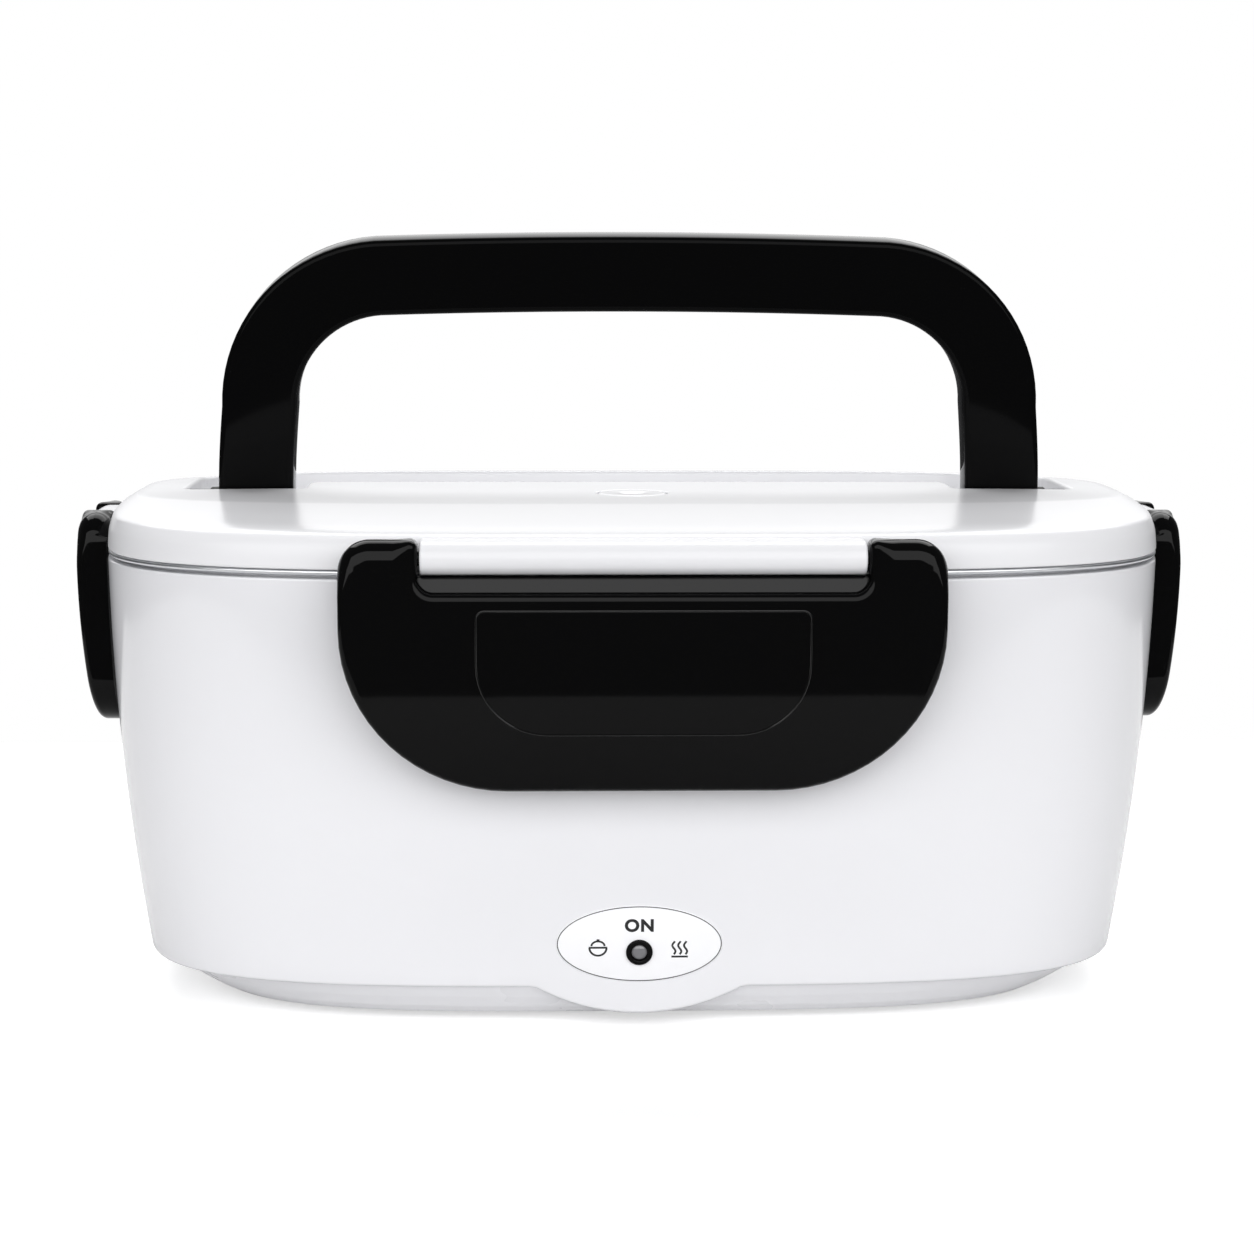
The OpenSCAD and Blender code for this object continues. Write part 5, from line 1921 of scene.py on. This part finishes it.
class KeptNodes:
    """CAD nodes whose own shape is right: each gets its finish."""

    finishes: dict = {
        "feet": Finish.RUBBER, "base_screws": Finish.ZINC, "heater_plate": Finish.PLATE,
        "heating_element": Finish.CERAMIC, "element_clamp": Finish.ZINC, "clamp_nuts": Finish.BRASS,
        "insulation_pad": Finish.FIBRE, "thermostat": Finish.CASE, "thermal_fuse": Finish.SLEEVE,
        "inner_leads": Finish.LEAD, "lamp_board": Finish.BOARD, "power_inlet": Finish.INLET,
        "inlet_pins": Finish.BRASS}

    def __init__(self, nodes: dict) -> None:
        """Takes the frame's nodes by name."""
        self.nodes = nodes

    def dress(self) -> None:
        """Dresses every kept node."""
        for name, finish in self.finishes.items():
            dress(self.nodes[name], finish)


# ---------------------------------------------------------------------------
# Studio
# ---------------------------------------------------------------------------


@dataclass
class Studio:
    """Pale table, soft lights and the camera at the photograph's viewing angle."""

    focal_px: float = 2664.4
    frame_px: float = 1254.0
    distance: float = 599.4
    height: float = 160.0
    pitch: float = 0.141
    yaw: float = 1.9
    roll: float = 0.003
    centre_px: tuple = (629.5, 627.0)
    table_front: float = -230.0
    table_back: float = 260.0
    table_side: float = 460.0
    table_glow: float = 0.5
    table_tint: float = 0.76
    table_level: float = -0.05
    sensor_mm: float = 36.0
    surround_light: float = 0.08

    def camera(self) -> bpy.types.Object:
        """Makes the camera.

        Returns:
            The camera.
        """
        lens = bpy.data.cameras.new("studio_camera")
        lens.sensor_fit = "HORIZONTAL"
        lens.sensor_width = self.sensor_mm
        lens.lens = self.focal_px / self.frame_px * self.sensor_mm
        lens.shift_x = (self.frame_px / 2 - self.centre_px[0]) / self.frame_px
        lens.shift_y = (self.centre_px[1] - self.frame_px / 2) / self.frame_px
        lens.clip_start, lens.clip_end = 0.01, 50.0
        piece = bpy.data.objects.new("studio_camera", lens)
        bpy.context.scene.collection.objects.link(piece)
        yaw = math.radians(self.yaw)
        level = math.cos(self.pitch)
        look = Vector((math.sin(yaw) * level, math.cos(yaw) * level, -math.sin(self.pitch)))
        right = Vector((math.cos(yaw), -math.sin(yaw), 0))
        up = right.cross(look)
        turn = Matrix((right, up, -look)).transposed().to_4x4() @ Matrix.Rotation(self.roll, 4, "Z")
        place = Vector((-math.sin(yaw) * self.distance, -math.cos(yaw) * self.distance, self.height)) * MM
        piece.matrix_world = Matrix.Translation(place) @ turn
        bpy.context.scene.camera = piece
        return piece

    def table(self) -> None:
        """Makes the pale floor, which glows for camera rays only."""
        material = bpy.data.materials.new("table_white")
        material.use_nodes = True
        shader = material.node_tree.nodes["Principled BSDF"]
        shader.inputs["Base Color"].default_value = (self.table_tint,) * 3 + (1,)
        shader.inputs["Roughness"].default_value = 0.9
        shader.inputs["Specular IOR Level"].default_value = 0.1
        shader.inputs["Emission Color"].default_value = (1, 1, 1, 1)
        tree = material.node_tree
        path = tree.nodes.new("ShaderNodeLightPath")
        tree.links.new(Shade.math(tree, "MULTIPLY", path.outputs["Is Camera Ray"], self.table_glow),
                       shader.inputs["Emission Strength"])
        x, y0, y1 = self.table_side, self.table_front, self.table_back
        z = self.table_level
        points = np.array([(-x, y0, z), (x, y0, z), (x, y1, z), (-x, y1, z)])
        floor = MeshMaker.make("table_top", points, [[0, 1, 2, 3]])
        floor.data.materials.append(material)

    def light(self, name: str, place: tuple, aim: tuple, size: tuple, power: float) -> None:
        """Makes one soft area light.

        Args:
            name: the light's name.
            place: where it stands, in metres.
            aim: the point that it faces.
            size: its width and height in metres.
            power: its power in watts.
        """
        lamp = bpy.data.lights.new(name, "AREA")
        lamp.shape = "RECTANGLE"
        lamp.size, lamp.size_y = size
        lamp.energy = power
        piece = bpy.data.objects.new(name, lamp)
        bpy.context.scene.collection.objects.link(piece)
        way = Vector(aim) - Vector(place)
        piece.matrix_world = Matrix.Translation(place) @ way.to_track_quat("-Z", "Y").to_matrix().to_4x4()

    def surround(self) -> None:
        """Makes the even surround: white where it is looked at, dimmer where it only lights."""
        world = bpy.data.worlds.new("studio_surround")
        bpy.context.scene.world = world
        world.use_nodes = True
        tree = world.node_tree
        tree.nodes.clear()
        path = tree.nodes.new("ShaderNodeLightPath")
        seen, light = tree.nodes.new("ShaderNodeBackground"), tree.nodes.new("ShaderNodeBackground")
        seen.inputs["Color"].default_value = (1, 1, 1, 1)
        seen.inputs["Strength"].default_value = 1.0
        light.inputs["Color"].default_value = (0.96, 0.97, 1.0, 1)
        light.inputs["Strength"].default_value = self.surround_light
        mix, out = tree.nodes.new("ShaderNodeMixShader"), tree.nodes.new("ShaderNodeOutputWorld")
        tree.links.new(path.outputs["Is Camera Ray"], mix.inputs["Fac"])
        tree.links.new(light.outputs[0], mix.inputs[1])
        tree.links.new(seen.outputs[0], mix.inputs[2])
        tree.links.new(mix.outputs[0], out.inputs["Surface"])

    def build(self) -> None:
        """Makes the whole studio."""
        self.camera()
        self.table()
        self.surround()
        self.light("key_front", (0.0, -1.9, 1.0), (0, 0, 0.06), (5.2, 1.7), 78)
        self.light("top_soft", (0.0, 0.95, 1.45), (0, 0.0, 0), (2.4, 1.1), 32)
        self.light("back_soft", (0.0, 1.4, 0.785), (0, 0, 0.785), (1.8, 0.85), 6.0)
        self.light("back_low", (0.0, 1.4, 0.2), (0, 0, 0.2), (1.8, 0.32), 1.1)
        bpy.context.scene.view_settings.view_transform = "Standard"
        bpy.context.scene.view_settings.look = "None"


def main() -> None:
    """Builds every piece in order and reports each."""
    logging.basicConfig(level=logging.INFO, format="%(message)s")
    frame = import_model()
    outline = Outline()
    Studio().build()
    LOG.info("studio ready")
    for label, piece in (
            ("housing", Housing(outline)), ("base", Plinth(outline)), ("lamp panel", LampPanel(outline)),
            ("steel tray", SteelTray(outline)), ("food insert", FoodInsert(outline)), ("lid", Lid(outline)),
            ("carry handle", CarryHandle())):
        piece.build()
        LOG.info("built the %s", label)
    end = {"half": 19.5, "drop": 43.0, "horn": 12.0, "corner": 11.0, "bow": 200.0, "pad": False,
           "hook_half": 11.5, "rib_places": (-8.0, 8.0)}
    for latch in (Latch(LatchSide.FRONT, outline), Latch(LatchSide.BACK, outline),
                  Latch(LatchSide.LEFT, outline, **end), Latch(LatchSide.RIGHT, outline, **end)):
        latch.build()
        LOG.info("built the %s", latch.side.value[0])
    KeptNodes(frame["nodes"]).dress()
    LOG.info("dressed the nodes that keep their CAD shape")


if __name__ == "__main__":
    main()
